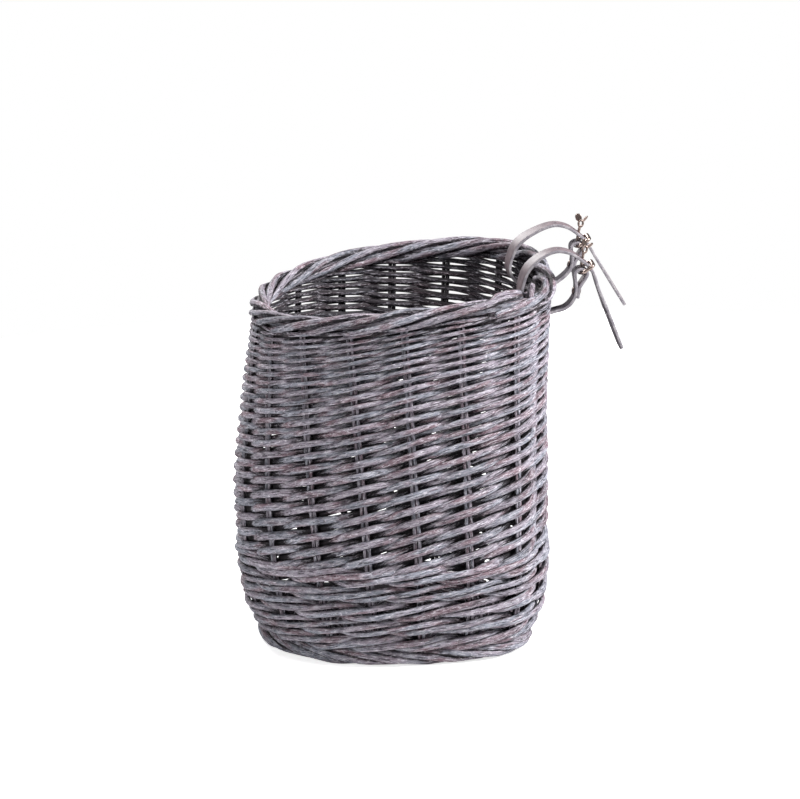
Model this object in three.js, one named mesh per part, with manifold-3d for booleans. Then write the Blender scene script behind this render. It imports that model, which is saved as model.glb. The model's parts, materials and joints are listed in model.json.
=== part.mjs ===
// Willow bicycle basket with two leather handlebar straps, as an assembly of separate pieces.
// Millimetres. +Z is up, +Y is the back (the strap side, towards the rider), +X is the rider's left.
import * as THREE from "three";
import { mergeVertices } from "three/addons/utils/BufferGeometryUtils.js";
import Module from "manifold-3d";

const wasm = await Module();
wasm.setup();

// Driving dimensions

const CLEAR = 0.3; // gap between pieces that touch

// Reaches of the wall's middle surface from the plan's centre, at the heights where the shape turns
const FOOT = { height: 12, front: 129, back: 106, side: 110 };
const BEND = { height: 45, front: 143, back: 119.5, side: 121.5 };
const BELLY = { height: 140, front: 149.5, back: 124.2, side: 129.5 };
const SHOULDER = { height: 230, front: 140, back: 125, side: 133.5 };
const RIM = { height: 323, front: 125.5, back: 130, side: 137 };
const PLAN = { frontPower: 2.1, backPower: 3.2 }; // roundness of the front half, squareness of the back
const RIM_RISE = 0.09; // the rim climbs this much per millimetre towards the back
const RIM_DIP = 6; // the rim sags this much at the front and back against its sides

const WALL = { thickness: 12, upsettTop: 95 };
const RELIEF = { hollow: 3, between: 3.4 }; // the wall's faces from its middle: under a rod, between stakes
const RAND = { lowRow: 13.8, highRow: 5.4, taper: 1.82 }; // rows of the siding, which thin late and then fast
const WALE = { rounds: 6, stroke: 3 }; // rounds of the upsett, each in front of all but one stake in three
const BORDER = { width: 18, height: 20, chamfer: 4.5 };
const FOOT_CHAMFER = 2.4;
const STAKE = { count: 18, rod: 3.4, pairWidth: 6.6, twist: THREE.MathUtils.degToRad(5.4) };
const BASE = { thickness: 13, lift: 1.5 };
const SLATH = { pierced: 5, through: 4, spacing: 1.3, straight: 27, endInset: 3 };
const STICK = { pierced: 8.4, through: 5.2 }; // rods across

const STRAP = { width: 16, thickness: 2.6, offset: 50, foldRadius: 5.5, hole: 3 };
const PASSAGE = { drop: 14, height: 5.8, play: 0.8 }; // slot in the wall, under the border
const TAIL = { gap: 0.9, bend: 20, holes: 3, holeStart: 24, holePitch: 14 };
const BUCKLE = { wire: 2.8, length: 12.5, play: 1.2, corner: 2.8, tilt: THREE.MathUtils.degToRad(33) };
const PRONG = { eye: 2.6, shank: 2.4, length: 25, straight: 12.5, lean: THREE.MathUtils.degToRad(81) };
const HOOK = { start: 21.2, startAside: 0.6, aside: 3 }; // the prong's bent tip
const PRONG_SLOT = { play: 0.8, depth: 14, height: 20, ahead: 2.4, above: 6.5 };
const RIVET = { head: 6.4, crown: 4.5, headThickness: 1.2, shank: 2.4 };

// Each strap is buckled on another hole: how far its buckle stands off, and how its tail hangs
const STRAPS = [
  { name: "left", side: 1, reach: 0, lift: 0, tailLength: 79, tailFall: THREE.MathUtils.degToRad(70) },
  { name: "right", side: -1, reach: 9, lift: 2.5, tailLength: 69, tailFall: THREE.MathUtils.degToRad(60) },
];

// Cutters and welding
const CUT_THROUGH = 30; // length of a cutter that goes right through a band
const OVERRUN = { stake: 2, stick: 9 }; // how far a tunnel runs past its rod
const WELD = 1e-4;
const NUDGE = 0.01; // radians either way, to read the wall's direction
const BISECTIONS = 40;

// Facets
const RING_STEPS = 36;
const STAKE_STEPS = 9;
const TUBE_SIDES = 8;
const STRAP_STEPS = 64;
const TAIL_STEPS = 10;

// Materials
const willow = (color) => new THREE.MeshStandardMaterial({ color, roughness: 0.75, metalness: 0 });
const LEATHER = { color: 0x9a8f98, roughness: 0.6, metalness: 0 };
const NICKEL = { color: 0xd8c6b8, roughness: 0.25, metalness: 1 };

const group = new THREE.Group();

function addPiece(name, geometry, material) {
  const mesh = new THREE.Mesh(geometry, material);
  mesh.name = name;
  group.add(mesh);
  return mesh;
}

// Solids

// Signed volume of a closed triangle list, negative when its faces point inwards
function signedVolume(points, faces) {
  let sum = 0;
  for (const [a, b, c] of faces) {
    sum += points[a].dot(new THREE.Vector3().crossVectors(points[b], points[c]));
  }
  return sum / 6;
}

// A closed skin through rings of points: joined end to start, or capped at both ends
function skin(rings, closed = false) {
  const sides = rings[0].length;
  const points = rings.flat();
  const faces = [];
  const spans = closed ? rings.length : rings.length - 1;
  for (let i = 0; i < spans; i++) {
    const here = i * sides;
    const next = ((i + 1) % rings.length) * sides;
    for (let j = 0; j < sides; j++) {
      const k = (j + 1) % sides;
      faces.push([here + j, here + k, next + k], [here + j, next + k, next + j]);
    }
  }
  if (!closed) {
    const last = (rings.length - 1) * sides;
    for (let j = 1; j < sides - 1; j++) {
      faces.push([0, j + 1, j], [last, last + j, last + j + 1]);
    }
  }
  if (signedVolume(points, faces) < 0) {
    faces.forEach((face) => face.reverse());
  }
  const geometry = new THREE.BufferGeometry().setFromPoints(points);
  geometry.setIndex(faces.flat());
  return geometry;
}

function toSolid(geometry) {
  const bare = geometry.clone();
  bare.deleteAttribute("normal");
  bare.deleteAttribute("uv");
  const merged = mergeVertices(bare, WELD);
  return new wasm.Manifold(
    new wasm.Mesh({
      numProp: 3,
      vertProperties: new Float32Array(merged.attributes.position.array),
      triVerts: new Uint32Array(merged.index.array),
    }),
  );
}

function toGeometry(solid) {
  const mesh = solid.getMesh();
  const geometry = new THREE.BufferGeometry();
  geometry.setAttribute("position", new THREE.BufferAttribute(new Float32Array(mesh.vertProperties), 3));
  geometry.setIndex(new THREE.BufferAttribute(new Uint32Array(mesh.triVerts), 1));
  return geometry;
}

function cut(geometry, cutters) {
  return toGeometry(cutters.reduce((solid, cutter) => solid.subtract(toSolid(cutter)), toSolid(geometry)));
}

function join(a, b) {
  return toGeometry(toSolid(a).add(toSolid(b)));
}

// The wall's middle surface

// A value between the named heights, on a smooth curve through them
function reachAt(height, key) {
  const stations = [FOOT, BEND, BELLY, SHOULDER, RIM];
  const n = stations.length;
  const slope = (i) => {
    const a = stations[Math.max(i - 1, 0)];
    const b = stations[Math.min(i + 1, n - 1)];
    return (b[key] - a[key]) / (b.height - a.height);
  };
  let i = 0;
  while (i < n - 2 && height > stations[i + 1].height) {
    i += 1;
  }
  const span = stations[i + 1].height - stations[i].height;
  const t = Math.max(0, (height - stations[i].height) / span); // the foot stands upright
  const [t2, t3] = [t * t, t * t * t];
  return (
    (2 * t3 - 3 * t2 + 1) * stations[i][key] +
    (t3 - 2 * t2 + t) * span * slope(i) +
    (3 * t2 - 2 * t3) * stations[i + 1][key] +
    (t3 - t2) * span * slope(i + 1)
  );
}

// Plan radius at an angle from +X, for half-axes that differ front and back
function planRadius(angle, side, front, back) {
  const [c, s] = [Math.abs(Math.cos(angle)), Math.abs(Math.sin(angle))];
  const [depth, power] = Math.sin(angle) > 0 ? [back, PLAN.backPower] : [front, PLAN.frontPower];
  return ((c / side) ** power + (s / depth) ** power) ** (-1 / power);
}

// A point at a row's height, at an angle, pushed out of the middle surface by offset
function wallPoint(height, angle, offset = 0) {
  const side = reachAt(height, "side") + offset;
  const front = reachAt(height, "front") + offset;
  const back = reachAt(height, "back") + offset;
  const r = planRadius(angle, side, front, back);
  const [x, y] = [r * Math.cos(angle), r * Math.sin(angle)];
  const climb = Math.max(0, (height - FOOT.height) / (RIM.height - FOOT.height));
  const grown = climb * (2 - climb);
  const depth = y > 0 ? back : front;
  return new THREE.Vector3(x, y, height + grown * (RIM_RISE * y - RIM_DIP * (y / depth) ** 2));
}

// A ring whose section is given as pairs of offset and height
function wallRing(section) {
  const rings = [];
  for (let i = 0; i < RING_STEPS; i++) {
    const angle = (2 * Math.PI * i) / RING_STEPS;
    rings.push(section.map(([offset, height]) => wallPoint(height, angle, offset)));
  }
  return skin(rings, true);
}

// A ring section with chamfered corners, between two heights
function chamferedSection(width, low, high, chamfer) {
  const half = width / 2;
  return [
    [half - chamfer, low],
    [half, low + chamfer],
    [half, high - chamfer],
    [half - chamfer, high],
    [chamfer - half, high],
    [-half, high - chamfer],
    [-half, low + chamfer],
    [chamfer - half, low],
  ];
}

// Stakes: a pair of rods side by side as one flat-sided rod, leaning with the twist of the weave

const BORDER_LOW = RIM.height - BORDER.height / 2;
const SIDING_TOP = BORDER_LOW - CLEAR;
const UPSETT_BOTTOM = FOOT.height + CLEAR;
const STAKE_BOTTOM = UPSETT_BOTTOM + CLEAR;
const STAKE_TOP = SIDING_TOP - 2 * CLEAR; // room for the slope of the border's underside

function stakeAngle(index, height) {
  const middle = (STAKE_BOTTOM + STAKE_TOP) / 2;
  return (2 * Math.PI * index) / STAKE.count - (STAKE.twist * (height - middle)) / RIM.height;
}

function stakeRod(index, grow = 0, overrun = 0) {
  const heights = Array.from(
    { length: STAKE_STEPS + 1 },
    (_, i) => STAKE_BOTTOM + ((STAKE_TOP - STAKE_BOTTOM) * i) / STAKE_STEPS,
  );
  if (overrun > 0) {
    heights.unshift(STAKE_BOTTOM - overrun);
    heights.push(STAKE_TOP + overrun);
  }
  const halfWide = STAKE.pairWidth / 2 + grow;
  const halfThick = STAKE.rod / 2 + grow;
  const flat = halfWide - halfThick / 2;
  const outline = [
    [halfWide, 0],
    [flat, halfThick],
    [-flat, halfThick],
    [-halfWide, 0],
    [-flat, -halfThick],
    [flat, -halfThick],
  ];
  const rings = heights.map((height) => {
    const angle = stakeAngle(index, height);
    const centre = wallPoint(height, angle);
    const along = wallPoint(height, angle + NUDGE).sub(wallPoint(height, angle - NUDGE));
    along.setZ(0).normalize();
    const out = new THREE.Vector3(along.y, -along.x, 0);
    return outline.map(([u, v]) => centre.clone().addScaledVector(along, u).addScaledVector(out, v));
  });
  return skin(rings);
}

// A band of wall that swells over its rods: at each half row and half stake, outside and inside
function wovenBand(halfRows, swell) {
  const rings = Array.from({ length: 2 * STAKE.count }, (_, halfStake) => {
    const face = (side) =>
      halfRows.map((height, halfRow) =>
        wallPoint(height, stakeAngle(halfStake / 2, height), side * swell(halfRow, halfStake, side)),
      );
    return [...face(1), ...face(-1).reverse()];
  });
  return skin(rings, true);
}

const tunnels = Array.from({ length: STAKE.count }, (_, i) => stakeRod(i, CLEAR, OVERRUN.stake));

for (let i = 0; i < STAKE.count; i++) {
  addPiece(`stake_${String(i + 1).padStart(2, "0")}`, stakeRod(i), willow(0x6b656e));
}

// Straps: where each one stands

// The border's axis where a strap loops over it
function borderAxis(side) {
  const x = side * STRAP.offset;
  let [low, high] = [0, Math.PI / 2];
  for (let i = 0; i < BISECTIONS; i++) {
    const middle = (low + high) / 2;
    if (wallPoint(RIM.height, middle).x > STRAP.offset) {
      low = middle;
    } else {
      high = middle;
    }
  }
  const { y, z } = wallPoint(RIM.height, low);
  return new THREE.Vector3(x, y, z);
}

// Loop round the border, as offsets from its axis, and how much of the buckle's reach each point takes
const PASSAGE_RADIUS = BORDER.height / 2 + PASSAGE.drop;
const onPassage = (degrees) => {
  const angle = THREE.MathUtils.degToRad(degrees);
  return [PASSAGE_RADIUS * Math.cos(angle), PASSAGE_RADIUS * Math.sin(angle), 0];
};
const LOOP = [
  [26.6, -1.5, 1],
  [24.6, -11.5, 0.8],
  [17.4, -19.8, 0.3],
  onPassage(-72),
  onPassage(-85),
  onPassage(-98),
  onPassage(-111),
  onPassage(-126),
  [-20.6, -12.4, 0],
  [-23.2, -2.5, 0],
  [-18.6, 13, 0.05],
  [-10.2, 22.8, 0.2],
  [0.7, 29.4, 0.8],
  [11.4, 31.6, 1],
  [22.2, 29, 1],
  [30.5, 23.4, 1],
  [37, 17.6, 1],
  [39.6, 13.9, 1],
];
const HEEL = [31, 11.5]; // the buckle's heel bar from the border's axis
const LAP = [0.95, 0.45, 0]; // where the folded end lies along the band's first span

const at = (axis, strap, [dy, dz, share]) =>
  new THREE.Vector2(axis.y + dy + share * strap.reach, axis.z + dz + share * strap.lift);

const inPlane = new THREE.Matrix4().makeBasis(
  new THREE.Vector3(0, 1, 0),
  new THREE.Vector3(0, 0, 1),
  new THREE.Vector3(1, 0, 0),
);

// A band of leather along points in the YZ plane, square to it, centred on x
function leatherBand(points, steps, x) {
  const curve = new THREE.SplineCurve(points);
  const half = STRAP.thickness / 2;
  const [left, right] = [[], []];
  for (let i = 0; i <= steps; i++) {
    const p = curve.getPoint(i / steps);
    const t = curve.getTangent(i / steps);
    left.push(new THREE.Vector2(p.x - t.y * half, p.y + t.x * half));
    right.push(new THREE.Vector2(p.x + t.y * half, p.y - t.x * half));
  }
  const shape = new THREE.Shape([...left, ...right.reverse()]);
  const geometry = new THREE.ExtrudeGeometry(shape, { depth: STRAP.width, bevelEnabled: false });
  return geometry.translate(0, 0, -STRAP.width / 2).applyMatrix4(inPlane).translate(x, 0, 0);
}

// A round pin along a direction in the YZ plane
function crossPin(radius, length, x, centre, angle) {
  const pin = new THREE.CylinderGeometry(radius, radius, length, TUBE_SIDES);
  return pin.rotateX(angle).translate(x, centre.x, centre.y);
}

// A tube of round section along points, closed on itself or capped
function tube(points, radius, closed) {
  const curve = new THREE.CatmullRomCurve3(points, closed, "centripetal");
  const count = closed ? points.length : points.length * 2;
  const frames = curve.computeFrenetFrames(count, closed);
  const rings = [];
  for (let i = 0; i < (closed ? count : count + 1); i++) {
    const p = closed ? points[i] : curve.getPointAt(i / count);
    const ring = [];
    for (let j = 0; j < TUBE_SIDES; j++) {
      const a = (2 * Math.PI * j) / TUBE_SIDES;
      ring.push(
        p
          .clone()
          .addScaledVector(frames.normals[i], radius * Math.cos(a))
          .addScaledVector(frames.binormals[i], radius * Math.sin(a)),
      );
    }
    rings.push(ring);
  }
  return skin(rings, closed);
}

const slots = [];
const pivots = {}; // where each moving piece turns, about an axis along X

for (const strap of STRAPS) {
  const axis = borderAxis(strap.side);
  const x = axis.x;
  const heel = at(axis, strap, [...HEEL, 1]);

  // Strap: fold round the heel bar, wall passage, loop over the border, under the front bar
  const wire = BUCKLE.wire / 2;
  const foldDrop = STRAP.foldRadius - STRAP.thickness / 2 - CLEAR - wire;
  const foldCentre = new THREE.Vector2(heel.x, heel.y - foldDrop);
  const loop = LOOP.map((point) => at(axis, strap, point));
  const layer = STRAP.thickness + CLEAR;
  const down = loop[1].clone().sub(loop[0]).normalize();
  const outward = new THREE.Vector2(-down.y, down.x);
  const foldEnd = LAP.map((share) =>
    loop[0].clone().lerp(loop[1], share).addScaledVector(outward, layer),
  );
  const wrap = [0, 45, 90, 135, 180].map((degrees) => {
    const a = THREE.MathUtils.degToRad(degrees);
    const r = STRAP.foldRadius;
    return new THREE.Vector2(foldCentre.x + r * Math.cos(a), foldCentre.y + r * Math.sin(a));
  });
  const band = leatherBand([...foldEnd, ...wrap, ...loop], STRAP_STEPS, x);

  // Openings of the strap: the prong's slot, the rivet's hole and a spare hole
  const prongSlot = new THREE.BoxGeometry(
    PRONG.eye + 2 * PRONG_SLOT.play,
    PRONG_SLOT.depth,
    PRONG_SLOT.height,
  );
  prongSlot.translate(x, heel.x + PRONG_SLOT.ahead, heel.y + PRONG_SLOT.above);
  const rivetSpot = foldEnd[1].clone().addScaledVector(outward, -layer / 2);
  const rivetAngle = Math.atan2(outward.y, outward.x);
  const rivetHole = crossPin(RIVET.shank / 2 + CLEAR, CUT_THROUGH, x, rivetSpot, rivetAngle);
  const crest = loop.reduce((best, point) => (point.y > best.y ? point : best));
  const spareHole = crossPin(STRAP.hole / 2, CUT_THROUGH, x, crest, Math.PI / 2);
  addPiece(
    `${strap.name}_strap`,
    cut(band, [prongSlot, rivetHole, spareHole]),
    new THREE.MeshStandardMaterial(LEATHER),
  );

  // Rivet: two heads on one shank
  const stack = layer + STRAP.thickness;
  const [rim, crown] = [RIVET.head / 2, RIVET.crown / 2];
  const top = stack / 2 + CLEAR;
  const profile = [
    [0, -top - RIVET.headThickness],
    [crown, -top - RIVET.headThickness],
    [rim, -top],
    [RIVET.shank / 2, -top],
    [RIVET.shank / 2, top],
    [rim, top],
    [crown, top + RIVET.headThickness],
    [0, top + RIVET.headThickness],
  ].map(([r, h]) => new THREE.Vector2(r, h));
  const rivet = new THREE.LatheGeometry(profile, TUBE_SIDES);
  rivet.rotateX(rivetAngle).translate(x, rivetSpot.x, rivetSpot.y);
  addPiece(`${strap.name}_strap_rivet`, rivet, new THREE.MeshStandardMaterial(NICKEL));

  // Tail: the free end of the band past the buckle's front bar
  const exit = loop[loop.length - 1];
  const exitWay = exit.clone().sub(loop[loop.length - 2]).normalize();
  const fall = new THREE.Vector2(Math.cos(strap.tailFall), -Math.sin(strap.tailFall));
  const tailPivot = exit.clone().addScaledVector(exitWay, TAIL.gap / 2);
  const tailStart = exit.clone().addScaledVector(exitWay, TAIL.gap);
  const halfway = (TAIL.bend + strap.tailLength) / 2;
  const tail = [0, TAIL.bend / 4, TAIL.bend, halfway, strap.tailLength].map((run) => {
    const way = exitWay.clone().lerp(fall, Math.min(1, run / TAIL.bend)).normalize();
    return tailStart.clone().addScaledVector(way, run);
  });
  const tailHoles = Array.from({ length: TAIL.holes }, (_, i) => {
    const spot = tailStart.clone().addScaledVector(fall, TAIL.holeStart + i * TAIL.holePitch);
    return crossPin(STRAP.hole / 2, CUT_THROUGH, x, spot, Math.PI / 2 - strap.tailFall);
  });
  addPiece(
    `${strap.name}_strap_tail`,
    cut(leatherBand(tail, TAIL_STEPS, x), tailHoles),
    new THREE.MeshStandardMaterial(LEATHER),
  );

  // Buckle frame: a bent wire rectangle, its heel bar in the fold and its front bar over the band
  const halfSpan = STRAP.width / 2 + BUCKLE.play + wire;
  const corner = BUCKLE.corner;
  const bite = corner * (1 - Math.SQRT1_2);
  const flat = [
    [-halfSpan + corner, 0],
    [halfSpan - corner, 0],
    [halfSpan - bite, bite],
    [halfSpan, corner],
    [halfSpan, BUCKLE.length - corner],
    [halfSpan - bite, BUCKLE.length - bite],
    [halfSpan - corner, BUCKLE.length],
    [corner - halfSpan, BUCKLE.length],
    [bite - halfSpan, BUCKLE.length - bite],
    [-halfSpan, BUCKLE.length - corner],
    [-halfSpan, corner],
    [bite - halfSpan, bite],
  ];
  const [ahead, above] = [Math.cos(BUCKLE.tilt), Math.sin(BUCKLE.tilt)];
  const framePoints = flat.map(
    ([u, v]) => new THREE.Vector3(x + u, heel.x + v * ahead, heel.y + v * above),
  );
  addPiece(
    `${strap.name}_buckle_frame`,
    tube(framePoints, wire, true),
    new THREE.MeshStandardMaterial(NICKEL),
  );

  // Prong: an eye on the heel bar and a shank that stands up through the strap, hooked at its tip
  const [bore, half] = [wire + CLEAR, PRONG.eye / 2];
  const eyeSection = [
    [bore, -half],
    [bore + half, -half],
    [bore + half, half],
    [bore, half],
    [bore, -half],
  ].map(([r, h]) => new THREE.Vector2(r, h));
  const eye = new THREE.LatheGeometry(eyeSection, TUBE_SIDES * 2);
  eye.rotateZ(Math.PI / 2).translate(x, heel.x, heel.y);
  const way = [Math.cos(PRONG.lean), Math.sin(PRONG.lean)];
  const shank = [
    [bore + half / 2, 0],
    [PRONG.straight, 0],
    [HOOK.start, HOOK.startAside],
    [PRONG.length, HOOK.aside],
  ].map(([along, aside]) => {
    const y = heel.x + along * way[0] + aside * way[1];
    return new THREE.Vector3(x, y, heel.y + along * way[1] - aside * way[0]);
  });
  addPiece(
    `${strap.name}_buckle_prong`,
    join(eye, tube(shank, PRONG.shank / 2, false)),
    new THREE.MeshStandardMaterial(NICKEL),
  );

  pivots[`${strap.name}_strap`] = axis;
  pivots[`${strap.name}_buckle`] = new THREE.Vector3(x, heel.x, heel.y);
  pivots[`${strap.name}_strap_tail`] = new THREE.Vector3(x, tailPivot.x, tailPivot.y);

  // Slot in the siding that the band passes through, with room for its swing
  const slot = new THREE.BoxGeometry(STRAP.width + 2 * PASSAGE.play, CUT_THROUGH, PASSAGE.height);
  slots.push(slot.translate(x, axis.y, axis.z - PASSAGE_RADIUS + PASSAGE.play));
}

// Wall: two woven bands over the stakes, and the border and foot that close them

const PROUD = WALL.thickness / 2;

// Upsett: each round passes in front of two stakes and behind the third, one stake further on each time
const waleStep = (WALL.upsettTop - UPSETT_BOTTOM) / (2 * WALE.rounds);
const waleRows = Array.from({ length: 2 * WALE.rounds + 1 }, (_, i) => UPSETT_BOTTOM + i * waleStep);
const waleBehind = (round, stake) => (stake + round) % WALE.stroke === 0;

function waleSwell(halfRow, halfStake, side) {
  if (halfRow % 2 === 0) {
    return RELIEF.hollow;
  }
  const round = (halfRow - 1) / 2;
  const stakes = [Math.floor(halfStake / 2), Math.ceil(halfStake / 2)];
  const shows = stakes.every((stake) => waleBehind(round, stake) === side < 0);
  return shows ? PROUD : RELIEF.between;
}

addPiece("upsett_wale", cut(wovenBand(waleRows, waleSwell), tunnels), willow(0x716a74));

// Siding: at each stake one rod passes in front and one behind, at the same height in each row
const sidingLow = WALL.upsettTop + CLEAR;
const rowHeight = (height) => {
  const climb = (height - sidingLow) / (SIDING_TOP - sidingLow);
  return RAND.lowRow + (RAND.highRow - RAND.lowRow) * climb ** RAND.taper;
};
const sidingRows = [sidingLow];
while (sidingRows.at(-1) + rowHeight(sidingRows.at(-1)) < SIDING_TOP) {
  sidingRows.push(sidingRows.at(-1) + rowHeight(sidingRows.at(-1)) / 2);
}
sidingRows.push(SIDING_TOP);

function sidingSwell(halfRow, halfStake) {
  if (halfStake % 2 === 1) {
    return RELIEF.between;
  }
  return halfRow % 2 === 0 ? PROUD : RELIEF.hollow;
}

addPiece(
  "siding_weave",
  cut(wovenBand(sidingRows, sidingSwell), [...tunnels, ...slots]),
  willow(0x7b747e),
);
addPiece(
  "top_border",
  wallRing(chamferedSection(BORDER.width, BORDER_LOW, BORDER_LOW + BORDER.height, BORDER.chamfer)),
  willow(0x7c7a85),
);
addPiece(
  "foot_border",
  wallRing(chamferedSection(WALL.thickness, 0, FOOT.height, FOOT_CHAMFER)),
  willow(0x6e6872),
);

// Base: a cross of sticks, opened out like a fan, inside the woven bottom

const footInset = -WALL.thickness / 2 - CLEAR;
const edgePoint = (angle, inset, z) => wallPoint(FOOT.height, angle, footInset - inset).setZ(z);
const stickLevel = BASE.lift + BASE.thickness / 2;
const slathCentre = (FOOT.back - FOOT.front) / 2;
const stickTurn = Math.PI / (SLATH.pierced + SLATH.through);

function baseStick(lengthwise, index, grow = 0, overrun = 0) {
  const count = lengthwise ? SLATH.pierced : SLATH.through;
  const rod = lengthwise ? STICK.pierced : STICK.through;
  const step = index - (count - 1) / 2;
  const place = step * (rod + SLATH.spacing);
  const nearAngle = lengthwise ? Math.PI / 2 - step * stickTurn : step * stickTurn;
  const farAngle = lengthwise ? -Math.PI / 2 + step * stickTurn : Math.PI - step * stickTurn;
  const along = (sign) =>
    lengthwise
      ? new THREE.Vector3(place, slathCentre + sign * SLATH.straight, stickLevel)
      : new THREE.Vector3(sign * SLATH.straight, slathCentre + place, stickLevel);
  const path = [
    edgePoint(nearAngle, SLATH.endInset, stickLevel),
    along(1),
    along(-1),
    edgePoint(farAngle, SLATH.endInset, stickLevel),
  ];
  path[0].addScaledVector(path[0].clone().sub(path[1]).normalize(), overrun);
  path[3].addScaledVector(path[3].clone().sub(path[2]).normalize(), overrun);
  const rings = path.map((p, i) => {
    const before = p.clone().sub(path[Math.max(i - 1, 0)]).normalize();
    const after = path[Math.min(i + 1, path.length - 1)].clone().sub(p).normalize();
    const way = before.clone().add(after).normalize();
    const out = new THREE.Vector3(way.y, -way.x, 0);
    const mitre = 1 / Math.max(way.dot(before), way.dot(after));
    return Array.from({ length: TUBE_SIDES }, (_, j) => {
      const a = (2 * Math.PI * j) / TUBE_SIDES;
      const r = rod / 2 + grow;
      return p.clone().addScaledVector(out, mitre * r * Math.cos(a)).setZ(stickLevel + r * Math.sin(a));
    });
  });
  return skin(rings);
}

const lengthwise = Array.from({ length: SLATH.pierced }, (_, i) => i);
const crosswise = Array.from({ length: SLATH.through }, (_, i) => i);
const crossTunnels = crosswise.map((i) => baseStick(false, i, CLEAR, OVERRUN.stick));
const stickTunnels = [...lengthwise.map((i) => baseStick(true, i, CLEAR, OVERRUN.stick)), ...crossTunnels];

for (const i of lengthwise) {
  addPiece(`base_stick_long_${i + 1}`, cut(baseStick(true, i), crossTunnels), willow(0x5f5a62));
}
for (const i of crosswise) {
  addPiece(`base_stick_cross_${i + 1}`, baseStick(false, i), willow(0x5f5a62));
}

const outline = Array.from({ length: RING_STEPS }, (_, i) => {
  const { x, y } = edgePoint((2 * Math.PI * i) / RING_STEPS, 0, 0);
  return new THREE.Vector2(x, y);
});
const plate = new THREE.ExtrudeGeometry(new THREE.Shape(outline), {
  depth: BASE.thickness,
  bevelEnabled: false,
}).translate(0, 0, BASE.lift);
addPiece("base_weave", cut(plate, stickTunnels), willow(0x68626b));

// The origin is under the middle of the whole part, on the surface it stands on
const box = new THREE.Box3().setFromObject(group);
group.position.set(-(box.min.x + box.max.x) / 2, -(box.min.y + box.max.y) / 2, -box.min.z);
Object.values(pivots).forEach((pivot) => pivot.add(group.position));
group.userData.pivots = pivots;

export default group;
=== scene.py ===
"""Looks of a willow bicycle basket: woven rods, leather handlebar straps and nickel buckles.

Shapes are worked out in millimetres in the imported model's frame and handed to Blender in metres.
"""

from __future__ import annotations

import json
import logging
import math
from dataclasses import dataclass, field
from enum import Enum, IntEnum

import bpy
import numpy as np
from mathutils import Matrix, Vector


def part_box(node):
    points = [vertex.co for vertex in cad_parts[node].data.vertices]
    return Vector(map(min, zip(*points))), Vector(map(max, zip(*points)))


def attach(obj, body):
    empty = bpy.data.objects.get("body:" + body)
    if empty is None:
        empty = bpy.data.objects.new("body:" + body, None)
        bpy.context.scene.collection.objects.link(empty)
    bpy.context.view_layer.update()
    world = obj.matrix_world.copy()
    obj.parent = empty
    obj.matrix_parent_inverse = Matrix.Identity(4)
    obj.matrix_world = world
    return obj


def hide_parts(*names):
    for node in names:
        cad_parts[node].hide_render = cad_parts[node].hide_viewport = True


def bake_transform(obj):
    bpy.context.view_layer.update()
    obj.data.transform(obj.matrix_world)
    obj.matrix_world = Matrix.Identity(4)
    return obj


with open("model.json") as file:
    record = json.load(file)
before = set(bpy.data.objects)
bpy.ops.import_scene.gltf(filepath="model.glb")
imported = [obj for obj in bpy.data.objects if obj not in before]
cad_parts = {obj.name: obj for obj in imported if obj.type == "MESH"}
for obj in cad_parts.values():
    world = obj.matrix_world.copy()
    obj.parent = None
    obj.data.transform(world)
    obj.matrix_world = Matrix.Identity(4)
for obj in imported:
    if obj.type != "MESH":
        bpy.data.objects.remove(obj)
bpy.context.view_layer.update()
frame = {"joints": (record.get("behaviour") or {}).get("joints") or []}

MM = 0.001
log = logging.getLogger("basket")


# Colour, nodes and small maths


def linear(code: str) -> tuple[float, float, float, float]:
    """Turn an sRGB hex colour into linear light.

    Args:
        code: Colour such as "#8a8088".

    Returns:
        Linear red, green and blue with full alpha.
    """
    shares = [int(code[i : i + 2], 16) / 255 for i in (1, 3, 5)]
    red, green, blue = (c / 12.92 if c <= 0.04045 else ((c + 0.055) / 1.055) ** 2.4 for c in shares)
    return red, green, blue, 1.0


def add_node(
    tree: bpy.types.NodeTree, kind: str, settings: dict | None = None, inputs: dict | None = None
) -> bpy.types.Node:
    """Add one node with its settings and its inputs.

    Args:
        tree: Node tree that takes the node.
        kind: Blender's name of the node.
        settings: Attributes of the node by name.
        inputs: Input sockets by name or place, each with a value or with a socket to link.

    Returns:
        The new node.
    """
    node = tree.nodes.new(kind)
    for name, value in (settings or {}).items():
        setattr(node, name, value)
    for name, value in (inputs or {}).items():
        if isinstance(value, bpy.types.NodeSocket):
            tree.links.new(value, node.inputs[name])
        else:
            node.inputs[name].default_value = value
    return node


def start_material(name: str) -> tuple[bpy.types.Material, bpy.types.NodeTree, bpy.types.Node]:
    """Start a node material.

    Args:
        name: Name of the material.

    Returns:
        The material, its node tree and the shader in it.
    """
    made = bpy.data.materials.new(name)
    made.use_nodes = True
    return made, made.node_tree, made.node_tree.nodes["Principled BSDF"]


def add_object(name: str, data: bpy.types.ID) -> bpy.types.Object:
    """Add an object to the scene.

    Args:
        name: Name of the object.
        data: Its mesh, lamp or camera.

    Returns:
        The object, linked into the scene.
    """
    made = bpy.data.objects.new(name, data)
    bpy.context.scene.collection.objects.link(made)
    return made


def wobble(rng: np.random.Generator, run: np.ndarray, length: float, amount: float) -> np.ndarray:
    """Smooth irregular wander along a rod.

    Args:
        rng: Source of the phases.
        run: Distances along the rod, in mm.
        length: Typical length of a swing, in mm.
        amount: Typical size of a swing.

    Returns:
        One value for each distance.
    """
    total = np.zeros_like(run)
    for stretch in (0.6, 1.0, 1.7):
        phase = rng.uniform(0, 2 * math.pi)
        total += np.sin(2 * math.pi * run / (length * stretch) + phase)
    return total * amount / math.sqrt(3)


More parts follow.
